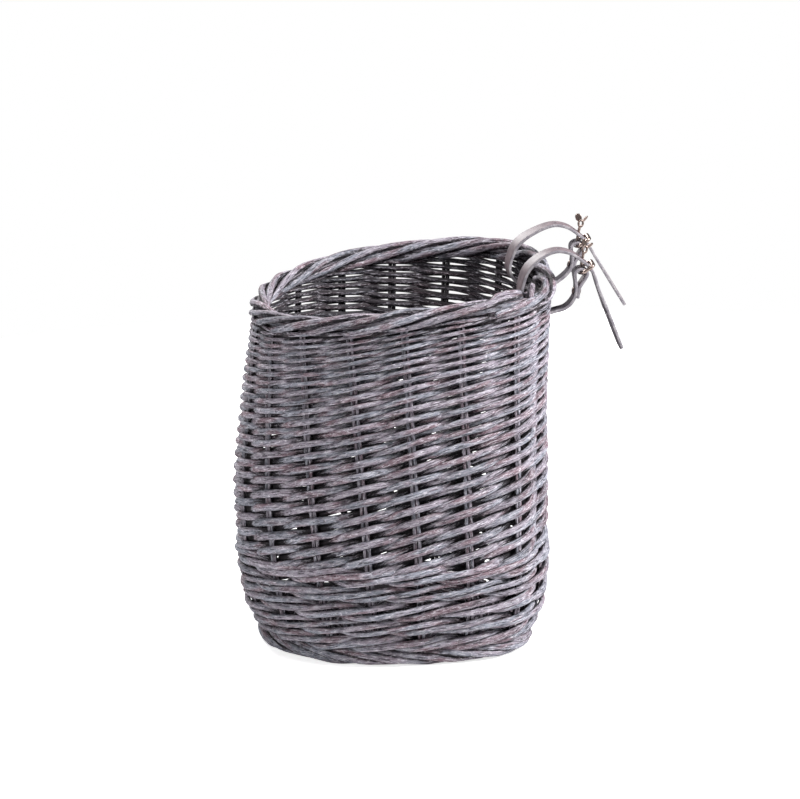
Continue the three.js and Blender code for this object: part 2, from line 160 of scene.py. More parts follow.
def catmull(points: np.ndarray, count: int) -> np.ndarray:
    """Points on a smooth curve through given points.

    Args:
        points: Points to pass through, one row each.
        count: Number of spans in the result.

    Returns:
        count + 1 points, evenly spread in the curve's own parameter.
    """
    last = len(points) - 1
    place = np.linspace(0, last, count + 1)
    i = np.minimum(place.astype(int), last - 1)
    t = (place - i)[:, None]
    before, a = points[np.maximum(i - 1, 0)], points[i]
    b, after = points[i + 1], points[np.minimum(i + 2, last)]
    slope_a, slope_b = (b - before) / 2, (after - a) / 2
    return (
        (2 * a - 2 * b + slope_a + slope_b) * t**3
        + (-3 * a + 3 * b - 2 * slope_a - slope_b) * t**2
        + slope_a * t
        + a
    )


def distance_along(path: np.ndarray) -> np.ndarray:
    """Distance of each point of a path from its start."""
    steps = np.linalg.norm(np.diff(path, axis=0), axis=1)
    return np.concatenate([[0.0], np.cumsum(steps)])


def tube_faces(first: int, rings: int, sides: int, closed: bool = False) -> list[tuple[int, ...]]:
    """Faces of a tube made of rings of points, with its two ends unless it is closed.

    Args:
        first: Number of its first point.
        rings: Rings along it.
        sides: Points round each ring.
        closed: Whether its last ring meets its first.

    Returns:
        The faces along it, ring by ring, and then those of the two ends.
    """
    faces: list[tuple[int, ...]] = []
    for i in range(rings if closed else rings - 1):
        a, b = first + i * sides, first + (i + 1) % rings * sides
        for j in range(sides):
            k = (j + 1) % sides
            faces.append((a + j, a + k, b + k, b + j))
    if not closed:
        last = first + (rings - 1) * sides
        faces.append(tuple(first + j for j in reversed(range(sides))))
        faces.append(tuple(last + j for j in range(sides)))
    return faces


# Finishes


@dataclass(frozen=True)
class WashedWillow:
    """Peeled willow rods, stained dark and brushed over from outside with thin grey paint.

    The wash gives a matt mauve grey that turns blue-grey where it lies thick and brownish pink where it
    has rubbed thin, with dark cracks along the rod and pale flecks where the brush dragged. The brush
    did not reach the inside of the basket, where the dark-stained wood shows. The same dark colour also
    paints shade: on rods that lie deeper in the wall, along the sides where rods meet, more on the
    undersides than on the tops, right under the border and inside the basket.

    Attributes:
        name: Name of the material.
        ground: The wash at its usual thickness.
        cool: The wash where it lies thick.
        warm: Wood that shows where the wash has rubbed thin.
        deep: Cracks along the rod.
        pale: Flecks and dragged strokes of dry paint.
        stain_and_shade: The dark colour where no wash came, which also serves as painted shade.
        patch_mm: Length of a thick patch along the rod.
        rub_mm: Length of a rubbed place.
        streak_mm: Width of a streak of the grain, coarser than real grain, which is too fine to show.
        speck_mm: Width of a fleck, coarser than a real one, which is too fine to show.
        relief_mm: Height of the grain and the flecks, as the light sees it.
        ragged: How much the grain and the flecks break up the edge of the wash.
        lightness: Lightness of the darkest and of the palest rod.
        roughness: Roughness in the grain's hollows and on its ridges.
    """

    name: str = "willow_rods_grey_washed"
    ground: str = "#958c98"
    cool: str = "#888c98"
    warm: str = "#7c5961"
    deep: str = "#29242a"
    pale: str = "#e2dee6"
    stain_and_shade: str = "#211c20"
    patch_mm: float = 60.0
    rub_mm: float = 34.0
    streak_mm: float = 1.1
    speck_mm: float = 1.5
    relief_mm: float = 0.8
    ragged: float = 0.9
    lightness: tuple[float, float] = (0.72, 1.25)
    roughness: tuple[float, float] = (0.5, 0.85)

    def material(self) -> bpy.types.Material:
        """Build the finish as a node material.

        Returns:
            The material.
        """
        made, tree, shader = start_material(self.name)
        run = add_node(tree, "ShaderNodeAttribute", {"attribute_name": "rod_run"}).outputs["Vector"]
        tint = add_node(tree, "ShaderNodeAttribute", {"attribute_name": "rod_tint"}).outputs["Fac"]
        wash = add_node(tree, "ShaderNodeAttribute", {"attribute_name": "rod_wash_and_light"}).outputs["Fac"]

        def grain(along: float, across: float, detail: float) -> bpy.types.NodeSocket:
            """Noise drawn out along the rod.

            Args:
                along: Its size along the rod, in mm.
                across: Its size round the rod, in mm.
                detail: How much finer noise lies in it.

            Returns:
                The noise's strength.
            """
            scale = add_node(
                tree,
                "ShaderNodeVectorMath",
                {"operation": "MULTIPLY"},
                {0: run, 1: (1 / along, 1 / across, 1 / across)},
            )
            noise = {"Vector": scale.outputs[0], "Scale": 1.0, "Detail": detail, "Roughness": 0.6}
            return add_node(tree, "ShaderNodeTexNoise", {}, noise).outputs["Fac"]

        def layer(
            under: object, over: str, pattern: bpy.types.NodeSocket, none: float, full: float, most: float
        ) -> bpy.types.NodeSocket:
            """Colour laid over another where a pattern is strong or weak.

            Args:
                under: Colour below, as a value or a socket.
                over: Colour laid over it, in hex.
                pattern: The pattern's strength.
                none: Strength at which nothing is laid.
                full: Strength at which the most is laid.
                most: Share of the upper colour there.

            Returns:
                The mixed colour.
            """
            span = {"Value": pattern, "From Min": none, "From Max": full, "To Min": 0.0, "To Max": most}
            mask = add_node(tree, "ShaderNodeMapRange", {"interpolation_type": "SMOOTHSTEP"}, span)
            colours = {0: mask.outputs[0], 6: under, 7: linear(over)}
            return add_node(tree, "ShaderNodeMix", {"data_type": "RGBA"}, colours).outputs[2]

        streak = grain(7 * self.streak_mm, self.streak_mm, 5.0)
        patch = grain(self.patch_mm, self.patch_mm / 6, 1.0)
        rub = grain(self.rub_mm, self.rub_mm / 4, 1.0)
        speck = grain(2.0 * self.speck_mm, self.speck_mm / 1.6, 4.0)
        colour = layer(linear(self.ground), self.cool, patch, none=0.42, full=0.62, most=0.85)
        colour = layer(colour, self.warm, rub, none=0.5, full=0.66, most=0.65)
        colour = layer(colour, self.pale, streak, none=0.53, full=0.66, most=0.55)
        colour = layer(colour, self.pale, speck, none=0.56, full=0.64, most=0.8)
        drag = add_node(tree, "ShaderNodeMath", {"operation": "ADD"}, {0: streak, 1: speck}).outputs[0]
        # The wash share, which also carries painted shade and light, is broken up by the grain and the
        # flecks.
        edge = {0: drag, 1: self.ragged, 2: wash}
        brushed = add_node(tree, "ShaderNodeMath", {"operation": "MULTIPLY_ADD"}, edge).outputs[0]
        # Painted shade: the dark colour goes where the wash share is low, on deeper rods, between rods, on
        # undersides, under the border and inside the basket, as well as on the real dark-stained wood.
        colour = layer(colour, self.stain_and_shade, brushed, none=1.62, full=1.2, most=0.94)
        colour = layer(colour, self.deep, streak, none=0.48, full=0.39, most=0.8)
        dark, light = self.lightness
        level = add_node(tree, "ShaderNodeMapRange", {}, {"Value": tint, "To Min": dark, "To Max": light})
        toned = add_node(tree, "ShaderNodeHueSaturation", {}, {"Value": level.outputs[0], "Color": colour})
        tree.links.new(toned.outputs[0], shader.inputs["Base Color"])
        smooth, rough = self.roughness
        dull = add_node(tree, "ShaderNodeMapRange", {}, {"Value": streak, "To Min": smooth, "To Max": rough})
        tree.links.new(dull.outputs[0], shader.inputs["Roughness"])
        bump = {"Height": drag, "Strength": 0.8, "Distance": self.relief_mm * MM}
        tree.links.new(add_node(tree, "ShaderNodeBump", {}, bump).outputs[0], shader.inputs["Normal"])
        shader.inputs["Specular IOR Level"].default_value = 0.35
        return made


@dataclass(frozen=True)
class CutWillow:
    """Clipped end of a willow rod, where bare pale wood shows between darker pith.

    Attributes:
        name: Name of the material.
        wood: Colour of the bare wood.
        pith: Colour of the pith.
        flecks_per_mm: Flecks of pith on a millimetre.
    """

    name: str = "willow_rod_clipped_end"
    wood: str = "#a69c9a"
    pith: str = "#6a5f60"
    flecks_per_mm: float = 0.9

    def material(self) -> bpy.types.Material:
        """Build the finish as a node material.

        Returns:
            The material.
        """
        made, tree, shader = start_material(self.name)
        run = add_node(tree, "ShaderNodeAttribute", {"attribute_name": "rod_run"}).outputs["Vector"]
        flecks = {"Vector": run, "Scale": self.flecks_per_mm, "Detail": 3.0}
        noise = add_node(tree, "ShaderNodeTexNoise", {}, flecks)
        colour = add_node(
            tree,
            "ShaderNodeMix",
            {"data_type": "RGBA"},
            {0: noise.outputs["Fac"], 6: linear(self.pith), 7: linear(self.wood)},
        )
        tree.links.new(colour.outputs[2], shader.inputs["Base Color"])
        shader.inputs["Roughness"].default_value = 0.85
        return made


@dataclass(frozen=True)
class StrapLeather:
    """Vegetable-tanned strap leather, dyed through and rolled smooth on its grain side.

    The grain has a low satin sheen with fine pores and creases, the flesh side is dull and fibrous, and
    the cut edges are pale and rough.

    Attributes:
        name: Name of the material.
        colour: Colour of the dyed leather.
        crease: Colour in its creases.
        roughness: How dull it is.
        pore_mm: Distance between pores, wider than on real leather, where they are too fine to show.
        relief_mm: Depth of the pores and creases, as the light sees it.
        crease_mm: Distance between creases.
    """

    name: str
    colour: str
    crease: str
    roughness: float
    pore_mm: float
    relief_mm: float
    crease_mm: float = 6.0

    def material(self) -> bpy.types.Material:
        """Build the finish as a node material.

        Returns:
            The material.
        """
        made, tree, shader = start_material(self.name)
        place = add_node(tree, "ShaderNodeTexCoord").outputs["Object"]
        pores = add_node(
            tree, "ShaderNodeTexVoronoi", {}, {"Vector": place, "Scale": 1 / (self.pore_mm * MM)}
        ).outputs["Distance"]
        creases = {"Vector": place, "Scale": 1 / (self.crease_mm * MM), "Detail": 5.0}
        cloud = add_node(tree, "ShaderNodeTexNoise", {}, creases).outputs["Fac"]
        mask = add_node(
            tree,
            "ShaderNodeMapRange",
            {"interpolation_type": "SMOOTHSTEP"},
            {"Value": cloud, "From Min": 0.35, "From Max": 0.7},
        )
        tone = add_node(
            tree,
            "ShaderNodeMix",
            {"data_type": "RGBA"},
            {0: mask.outputs[0], 6: linear(self.crease), 7: linear(self.colour)},
        )
        tree.links.new(tone.outputs[2], shader.inputs["Base Color"])
        relief = add_node(tree, "ShaderNodeMath", {"operation": "ADD"}, {0: pores, 1: cloud})
        bump = {"Height": relief.outputs[0], "Strength": 0.4, "Distance": self.relief_mm * MM}
        tree.links.new(add_node(tree, "ShaderNodeBump", {}, bump).outputs[0], shader.inputs["Normal"])
        shader.inputs["Roughness"].default_value = self.roughness
        shader.inputs["Specular IOR Level"].default_value = 0.4
        return made


@dataclass(frozen=True)
class NickelPlate:
    """Steel wire with warm polished nickel plate, which mirrors the room softly and dulls in fine scuffs.

    Attributes:
        name: Name of the material.
        colour: Colour of the plate.
        scuff_mm: Distance between scuffs, wider than real scratches, which are too fine to show.
        roughness: Roughness where the plate is bright and where it is scuffed.
    """

    name: str = "steel_wire_nickel_plated"
    colour: str = "#9c8b84"
    scuff_mm: float = 3.0
    roughness: tuple[float, float] = (0.2, 0.4)

    def material(self) -> bpy.types.Material:
        """Build the finish as a node material.

        Returns:
            The material.
        """
        made, tree, shader = start_material(self.name)
        place = add_node(tree, "ShaderNodeTexCoord").outputs["Object"]
        scuffs = {"Vector": place, "Scale": 1 / (self.scuff_mm * MM), "Detail": 4.0}
        scuff = add_node(tree, "ShaderNodeTexNoise", {}, scuffs).outputs["Fac"]
        bright, scuffed = self.roughness
        dull = add_node(tree, "ShaderNodeMapRange", {}, {"Value": scuff, "To Min": bright, "To Max": scuffed})
        tree.links.new(dull.outputs[0], shader.inputs["Roughness"])
        shader.inputs["Base Color"].default_value = linear(self.colour)
        shader.inputs["Metallic"].default_value = 1.0
        return made


# Woven rods


class RodFace(IntEnum):
    """Material places of a bundle of rods."""

    BARK = 0
    END = 1


@dataclass
class RodBundle:
    """Round rods in one mesh, with each rod's grain run, tint, and wash with its painted shade and light.

    Attributes:
        name: Name of the piece.
        centre: How far the basket's middle lies along Y, in mm.
        sides: Faces round a rod.
        stoop: How much the brush came from above, as a slope, painting light on tops and shade beneath.
        inner_wash: Share of the wash that reached the side turned away from the brush. The dark left
        there is partly painted shade.
        inner_turn: How far a face is turned away where that begins, as a cosine.
        inner_fade: How much further it is turned where that is full.
        wash_and_shade_depth: How far behind the wall's middle the wash begins; rods lying deeper take the
            dark
        colour, partly as painted shade.
        wash_and_shade_fade: How much further out it is full.
        side_shade_wrap: How far round the rod the wash reaches from its outer face, as a cosine; beyond it,
            on the sides where rods meet, the dark colour is painted shade.
        side_shade_fade: How much further out a face is turned where the wash is full.
        swell_mm: Length of a rod's slow swellings.
        swell: Size of these, as a share of the radius.
        knot_mm: Length of its short ones.
        knot: Size of these, as the same share.
        oval: How far it is from round, as the same share.
        oval_mm: Length along the rod in which that turns by a radian.
        points: Points of the mesh, one array for each rod.
        runs: Place of each point in the grain, along and across its rod.
        tints: Lightness of each point's rod.
        lit_washes: How much of the wash each point has, which also sets its painted shade and light.
        faces: Faces of the mesh.
        ends: Places of the cut ends among the faces.
        size: Points so far.
    """

    name: str
    centre: float
    sides: int = 8
    stoop: float = 0.3
    inner_wash: float = 0.44
    inner_turn: float = 0.35
    inner_fade: float = 0.5
    wash_and_shade_depth: float = 4.2
    wash_and_shade_fade: float = 6.0
    side_shade_wrap: float = 0.15
    side_shade_fade: float = 0.85
    swell_mm: float = 55.0
    swell: float = 0.035
    knot_mm: float = 13.0
    knot: float = 0.02
    oval: float = 0.05
    oval_mm: float = 90.0
    points: list[np.ndarray] = field(default_factory=list)
    runs: list[np.ndarray] = field(default_factory=list)
    tints: list[np.ndarray] = field(default_factory=list)
    lit_washes: list[np.ndarray] = field(default_factory=list)
    faces: list[tuple[int, ...]] = field(default_factory=list)
    ends: list[int] = field(default_factory=list)
    size: int = 0

    def add(
        self,
        path: np.ndarray,
        radius: np.ndarray,
        tint: float,
        rng: np.random.Generator,
        out: np.ndarray | float = 5.0,
        away: np.ndarray | None = None,
    ) -> None:
        """Add one rod.

        Args:
            path: Points along its middle, in mm.
            radius: Radius at each point, in mm.
            tint: Lightness of this rod, from 0 to 1.
            rng: Source of its small irregularities.
            out: How far each point lies out of the wall's middle, which sets how far the brushed wash
                reached and how much painted shade a deeper rod takes.
            away: Direction at each point that the brush and the painted light came from, out of the basket
                unless it is given.
        """
        n = len(path)
        run = distance_along(path)
        way = np.gradient(path, axis=0)
        way /= np.linalg.norm(way, axis=1)[:, None]
        normal = np.zeros_like(path)
        start = np.cross(way[0], (0.31, 0.17, 0.93))
        normal[0] = start / np.linalg.norm(start)
        for i in range(1, n):
            turned = normal[i - 1] - way[i] * np.dot(normal[i - 1], way[i])
            normal[i] = turned / np.linalg.norm(turned)
        side = np.cross(way, normal)
        around = np.arange(self.sides) * 2 * math.pi / self.sides
        lumps = 1 + wobble(rng, run, self.swell_mm, self.swell) + wobble(rng, run, self.knot_mm, self.knot)
        squash = 1 + self.oval * np.cos(2 * around[None, :] + rng.uniform(0, 6) + run[:, None] / self.oval_mm)
        r = (radius * lumps)[:, None] * squash
        cos, sin = np.cos(around)[None, :], np.sin(around)[None, :]
        ring = (
            path[:, None, :]
            + (r * cos)[..., None] * normal[:, None, :]
            + (r * sin)[..., None] * side[:, None, :]
        )
        seed = rng.uniform(0, 4000)
        along = np.repeat(run[:, None], self.sides, 1) + seed
        self.points.append(ring.reshape(-1, 3))
        self.runs.append(np.stack([along, r * cos + seed, r * sin], -1).reshape(-1, 3))
        self.tints.append(np.full(n * self.sides, tint))
        if away is None:
            away = path * (1, 1, 0) - (0, self.centre, 0)
        # Tilted up, so that tops take more wash than undersides: painted light from above.
        away = away / np.linalg.norm(away, axis=1)[:, None] + (0, 0, self.stoop)
        away = away / np.linalg.norm(away, axis=1)[:, None]
        facing = cos * (normal * away).sum(1)[:, None] + sin * (side * away).sum(1)[:, None]
        # The wash share also paints shade: deeper rods, the sides where rods meet and the inner faces take
        # less of it, and so more of the dark colour.
        reached = (np.broadcast_to(out, n)[:, None] + r * facing + self.wash_and_shade_depth) / self.wash_and_shade_fade
        outside = np.clip(np.minimum(reached, (facing + self.side_shade_wrap) / self.side_shade_fade), 0, 1)
        inside = self.inner_wash * np.clip((-self.inner_turn - facing) / self.inner_fade, 0, 1)
        self.lit_washes.append(np.maximum(outside, inside).ravel())
        self.faces += tube_faces(self.size, n, self.sides)
        self.ends += [len(self.faces) - 2, len(self.faces) - 1]
        self.size += n * self.sides

    def piece(self, bark: bpy.types.Material, end: bpy.types.Material) -> bpy.types.Object:
        """Make the bundle's object.

        Args:
            bark: Material along the rods.
            end: Material of their cut ends.

        Returns:
            The object, linked into the scene.
        """
        mesh = bpy.data.meshes.new(self.name)
        mesh.from_pydata(np.concatenate(self.points) * MM, [], self.faces)
        mesh.materials.append(bark)
        mesh.materials.append(end)
        smooth = np.ones(len(self.faces), bool)
        smooth[self.ends] = False
        slots = np.full(len(self.faces), int(RodFace.BARK), np.int32)
        slots[self.ends] = int(RodFace.END)
        mesh.polygons.foreach_set("use_smooth", smooth)
        mesh.polygons.foreach_set("material_index", slots)
        runs = mesh.attributes.new("rod_run", "FLOAT_VECTOR", "POINT")
        runs.data.foreach_set("vector", np.concatenate(self.runs).astype(np.float32).ravel())
        tints = mesh.attributes.new("rod_tint", "FLOAT", "POINT")
        tints.data.foreach_set("value", np.concatenate(self.tints).astype(np.float32))
        lit_washes = mesh.attributes.new("rod_wash_and_light", "FLOAT", "POINT")
        lit_washes.data.foreach_set("value", np.concatenate(self.lit_washes).astype(np.float32))
        mesh.update()
        return add_object(self.name, mesh)


@dataclass(frozen=True)
class BasketForm:
    """The basket's wall as a smooth surface: reaches from the plan's centre at the heights where it turns.

    Attributes:
        stations: Heights, each with the reaches to the front, the back and the sides, in mm.
        front_power: How square the plan is at the front: 2 for an ellipse.
        back_power: The same at the back.
        rim_rise: Slope of the rim towards the back.
        rim_dip: How much lower the rim lies at the front and the back than that slope.
        wall: Thickness of the wall.
        stakes: Pairs of stakes round the wall.
        twist: Angle by which the stakes lean round the basket over its height.
        upsett_top: Height where the upsett ends.
        border_low: Height where the top border begins.
    """

    stations: tuple[tuple[float, float, float, float], ...] = (
        (12.0, 129.0, 106.0, 110.0),
        (45.0, 143.0, 119.5, 121.5),
        (140.0, 149.5, 124.2, 129.5),
        (230.0, 140.0, 125.0, 133.5),
        (323.0, 125.5, 130.0, 137.0),
    )
    front_power: float = 2.1
    back_power: float = 3.2
    rim_rise: float = 0.09
    rim_dip: float = 6.0
    wall: float = 12.0
    stakes: int = 18
    twist: float = math.radians(5.4)
    upsett_top: float = 95.0
    border_low: float = 313.0

    @property
    def foot_height(self) -> float:
        """Height of the foot border."""
        return self.stations[0][0]

    @property
    def rim_height(self) -> float:
        """Height of the top border's middle at the sides."""
        return self.stations[-1][0]

    @property
    def shift(self) -> float:
        """How far the plan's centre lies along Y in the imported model's frame."""
        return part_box("foot_border")[0].y / MM + self.stations[0][1] + self.wall / 2

    def reach(self, height: np.ndarray, column: int) -> np.ndarray:
        """Reach of the wall at each height, on a smooth curve through the stations.

        Args:
            height: Heights in mm.
            column: 1 for the front, 2 for the back, 3 for the sides.

        Returns:
            Reaches in mm.
        """
        table = np.array(self.stations)
        h, v = table[:, 0], table[:, column]
        slope = np.empty_like(v)
        slope[1:-1] = (v[2:] - v[:-2]) / (h[2:] - h[:-2])
        slope[0], slope[-1] = (v[1] - v[0]) / (h[1] - h[0]), (v[-1] - v[-2]) / (h[-1] - h[-2])
        i = np.clip(np.searchsorted(h, height) - 1, 0, len(h) - 2)
        span = h[i + 1] - h[i]
        t = np.maximum(0, (height - h[i]) / span)
        return (
            (2 * t**3 - 3 * t**2 + 1) * v[i]
            + (t**3 - 2 * t**2 + t) * span * slope[i]
            + (3 * t**2 - 2 * t**3) * v[i + 1]
            + (t**3 - t**2) * span * slope[i + 1]
        )

    def point(self, height: np.ndarray, angle: np.ndarray, offset: np.ndarray | float = 0.0) -> np.ndarray:
        """Points of the wall.

        Args:
            height: Heights of the rows, before the rim's slope.
            angle: Angles from +X round the plan's centre.
            offset: Distances out of the middle surface.

        Returns:
            One point in a row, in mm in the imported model's frame.
        """
        height, angle = np.broadcast_arrays(np.asarray(height, float), np.asarray(angle, float))
        front, back, side = (self.reach(height, column) + offset for column in (1, 2, 3))
        behind = np.sin(angle) > 0
        depth = np.where(behind, back, front)
        power = np.where(behind, self.back_power, self.front_power)
        c, s = np.abs(np.cos(angle)), np.abs(np.sin(angle))
        r = ((c / side) ** power + (s / depth) ** power) ** (-1 / power)
        x, y = r * np.cos(angle), r * np.sin(angle)
        climb = np.maximum(0, (height - self.foot_height) / (self.rim_height - self.foot_height))
        slope = climb**2 * (self.rim_rise * y - self.rim_dip * (y / depth) ** 2)
        return np.stack([x, y + self.shift, height + slope], -1)

    def stake_angle(self, place: np.ndarray, height: np.ndarray) -> np.ndarray:
        """Angle at a place counted in stakes, which lean with the twist of the weave."""
        middle = (self.foot_height + self.border_low) / 2
        return 2 * math.pi * place / self.stakes - self.twist * (height - middle) / self.rim_height


@dataclass
class Willow:
    """What all the woven pieces share.

    Attributes:
        form: The wall's surface.
        bark: Material along the rods.
        end: Material of their cut ends.
    """

    form: BasketForm
    bark: bpy.types.Material
    end: bpy.types.Material

    def settle(self, bundle: RodBundle, slot: str, node: str) -> None:
        """Make a bundle's piece, which rides on the basket in place of its solid.

        Args:
            bundle: Rods of the piece.
            slot: Material slot of the record; not used.
            node: Solid that the piece stands for.
        """
        made = bundle.piece(self.bark, self.end)
        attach(made, "basket")
        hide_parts(node)
        log.info("%s: %d rod faces", made.name, len(bundle.faces))


@dataclass
class Stakes:
    """Upright stakes, each a pair of thin rods side by side.

    Attributes:
        willow: What the woven pieces share.
        rod: Diameter of a rod.
        bottom: Height of their lower ends.
        top: Height of their upper ends.
        low_depth: How far they lie behind the wall's middle up to the upsett's top.
        high_depth: The same at the top.
        deepening: How late that changes: 1 for an even change.
        wander_mm: Length of a stake's bends.
        wander: Size of these.
        out: How far out the brushed wash takes them to lie; set low, it paints the stakes darker as
        shade behind the rods.
        steps: Points along a stake.
    """

    willow: Willow
    rod: float = 3.7
    bottom: float = 9.0
    top: float = 318.0
    low_depth: float = 0.6
    high_depth: float = -2.2
    deepening: float = 1.8
    wander_mm: float = 90.0
    wander: float = 0.25
    out: float = -1.0
    steps: int = 40

    def build(self) -> None:
        """Build one piece for each stake."""
        form = self.willow.form
        height = np.linspace(self.bottom, self.top, self.steps)
        radius = np.full_like(height, self.rod / 2)
        climbed = np.clip((height - form.upsett_top) / (form.border_low - form.upsett_top), 0, 1)
        depth = self.low_depth + (self.high_depth - self.low_depth) * climbed**self.deepening
        for i in range(form.stakes):
            rng = np.random.default_rng(100 + i)
            bundle = RodBundle(f"stake_pair_{i + 1:02d}", form.shift, sides=7)
            angle = form.stake_angle(np.full_like(height, i), height)
            ahead = form.point(height, angle + 0.01) - form.point(height, angle - 0.01)
            ahead /= np.linalg.norm(ahead, axis=1)[:, None]
            for side in (-0.5, 0.5):
                offset = wobble(rng, height, self.wander_mm, self.wander) - depth
                path = form.point(height, angle, offset) + ahead * side * self.rod
                # The low out paints the stakes darker, as painted shade behind the rods.
                bundle.add(path, radius, rng.uniform(0.1, 0.55), rng, self.out)
            self.willow.settle(bundle, "washed_willow_stake", f"stake_{i + 1:02d}")


@dataclass
class Siding:
    """Siding in French randing: two rods for each stake, in front of one and behind one, rising as they go.

    In front of a stake a rod lies a little higher than an even climb would put it, and behind one lower.

    Attributes:
        willow: What the woven pieces share.
        low_pitch: Height between passes in front of a stake, at the bottom.
        high_pitch: The same at the top, where the rods have tapered.
        thinning: How late the taper sets in: 1 for an even one.
        far_high_pitch: The same at the top of the -X side, where the rows lie closer.
        far_thinning: How late the taper sets in there.
        fill: Share of that height that a rod fills at the bottom.
        high_fill: The same at the top.
        far_fill: The same at the bottom of the -X side.
        far_high_fill: The same at the top of the -X side.
        dip: How much higher than an even climb a rod lies in front of a stake, as a share of that height.
        lag: How far it is ahead of an even climb once it has passed the stake, as the same share.
        stake: Radius of a stake's rods.
        press: How far a rod beds into the stake that it passes.
        proud: Reach of the outermost rods past the middle surface.
        shade: How much less wash the rods right under the border take, which paints the border's shadow.
        shade_reach: How far below the border that begins.
        slot_gap: Distance that a rod keeps from the middle of a strap that goes through the wall.
        slot_reach: How far to either side of the strap the rods give way.
        slot_ease: How much less they do at that distance.
        run_in: Passes by which a rod starts below the upsett's top.
        run_out: Passes by which it ends above the border's lower side.
        low_stop: Passes below the upsett's top where the rods lie still.
        high_stop: Passes above the border's lower side where they do.
        stake_mm: Length of a rod from stake to stake, for its bends.
        probe: Passes to either side between which the height of a pass is measured.
        per_stake: Points along a rod from stake to stake.
        slots: Where the straps go through.
    """

    willow: Willow
    low_pitch: float = 13.8
    high_pitch: float = 5.4
    thinning: float = 1.82
    far_high_pitch: float = 4.9
    far_thinning: float = 1.1
    fill: float = 0.515
    high_fill: float = 0.56
    far_fill: float = 0.66
    far_high_fill: float = 0.72
    dip: float = 0.1
    lag: float = -0.04
    stake: float = 1.8
    press: float = 0.8
    proud: float = 6.3
    shade: float = 6.0
    shade_reach: float = 10.0
    slot_gap: float = 2.4
    slot_reach: float = 20.0
    slot_ease: float = 12.0
    run_in: float = 0.6
    run_out: float = 1.2
    low_stop: float = 0.5
    high_stop: float = 0.7
    stake_mm: float = 48.0
    probe: float = 0.3
    per_stake: int = 9
    slots: list[tuple[float, float, float]] = field(default_factory=list)

    def part_for_straps(self, path: np.ndarray, radius: np.ndarray) -> np.ndarray:
        """Push rods up or down where a strap goes through the wall.

        Args:
            path: Points along a rod.
            radius: Radius at each point.

        Returns:
            The path with a gap left for each strap.
        """
        moved = path.copy()
        for x, y, z in self.slots:
            near = np.exp(-(((path[:, 0] - x) / self.slot_reach) ** 4)) * (path[:, 1] > y - self.slot_reach)
            for run in np.split(np.arange(len(path)), np.flatnonzero(np.diff(near > 1e-3)) + 1):
                if near[run].max() < 0.5:
                    continue
                side = 1.0 if np.average(path[run, 2] - z, weights=near[run]) > 0 else -1.0
                rise = side * (path[run, 2] - z)
                least = radius[run] + self.slot_gap - self.slot_ease * (1 - near[run])
                moved[run, 2] = z + side * (rise + least + np.hypot(rise - least, 1.0)) / 2
        return moved

    def climb(self, high_pitch: float, thinning: float) -> tuple[np.ndarray, np.ndarray]:
        """How many passes lie below each height.

        Args:
            high_pitch: Height between passes at the top.
            thinning: How late the taper sets in.

        Returns:
            Heights in mm and the passes below each, counted from the top of the upsett.
        """
        form = self.willow.form
        low, high = form.upsett_top, form.border_low
        heights = np.linspace(low - 8, high + 8, 400)
        climbed = np.clip((heights - low) / (high - low), 0, 1) ** thinning
        pitches = self.low_pitch + (high_pitch - self.low_pitch) * climbed
        counts = np.concatenate([[0.0], np.cumsum(np.diff(heights) / pitches[1:])])
        return heights, counts - np.interp(low, heights, counts)

    def build(self) -> None:
        """Build the siding as one piece."""
        form = self.willow.form
        heights, counts = self.climb(self.high_pitch, self.thinning)
        far_counts = self.climb(self.far_high_pitch, self.far_thinning)[1]
        rounds, far_rounds = (float(np.interp(form.border_low, heights, c)) for c in (counts, far_counts))
        far_counts *= rounds / far_rounds
        bundle = RodBundle("siding_rods", form.shift)
        for index in range(2 * form.stakes):
            rng = np.random.default_rng(300 + index)
            family, level = index % 2, index / 2
            first = 2 * math.floor((-self.run_in - level - family) / 2) + family + 1
            last = 2 * math.ceil((rounds + self.run_out - level - family) / 2) + family + 1
            place = np.linspace(first, last, (last - first) * self.per_stake + 1)
            phase = math.pi * (place - family)
            run = place * self.stake_mm
            count = level + place + self.dip * np.cos(phase) + self.lag * np.sin(phase)
            count = np.clip(count + wobble(rng, run, 160, 0.05), -self.low_stop, rounds + self.high_stop)
            near = 0.5 + 0.5 * np.cos(2 * math.pi * place / form.stakes)
            height, below, above = (
                near * np.interp(count + step, counts, heights)
                + (1 - near) * np.interp(count + step, far_counts, heights)
                for step in (0, -self.probe, self.probe)
            )
            risen = np.clip((height - form.upsett_top) / (form.border_low - form.upsett_top), 0, 1)
            low_fill = near * self.fill + (1 - near) * self.far_fill
            top_fill = near * self.high_fill + (1 - near) * self.far_high_fill
            fill = low_fill + (top_fill - low_fill) * risen
            radius = fill * (above - below) / (4 * self.probe) * rng.uniform(0.92, 1.07)
            radius = np.maximum(radius, 0.5 * self.high_fill * self.far_high_pitch)
            swing = self.stake + radius - self.press
            middle = self.proud - swing - radius
            offset = middle + swing * np.cos(phase) + wobble(rng, run, 110, 0.25)
            path = form.point(height, form.stake_angle(place, height), offset)
            # Painted shadow of the border: rods just below it take less wash and more of the dark colour.
            under = (height - form.border_low + self.shade_reach) / self.shade_reach
            out = offset - self.shade * np.clip(under, 0, 1)
            path = self.part_for_straps(path, radius)
            bundle.add(path, radius, rng.uniform(0.25, 0.85), rng, out)
        log.info("siding: %.1f rounds", rounds)
        self.willow.settle(bundle, "washed_willow_weave", "siding_weave")


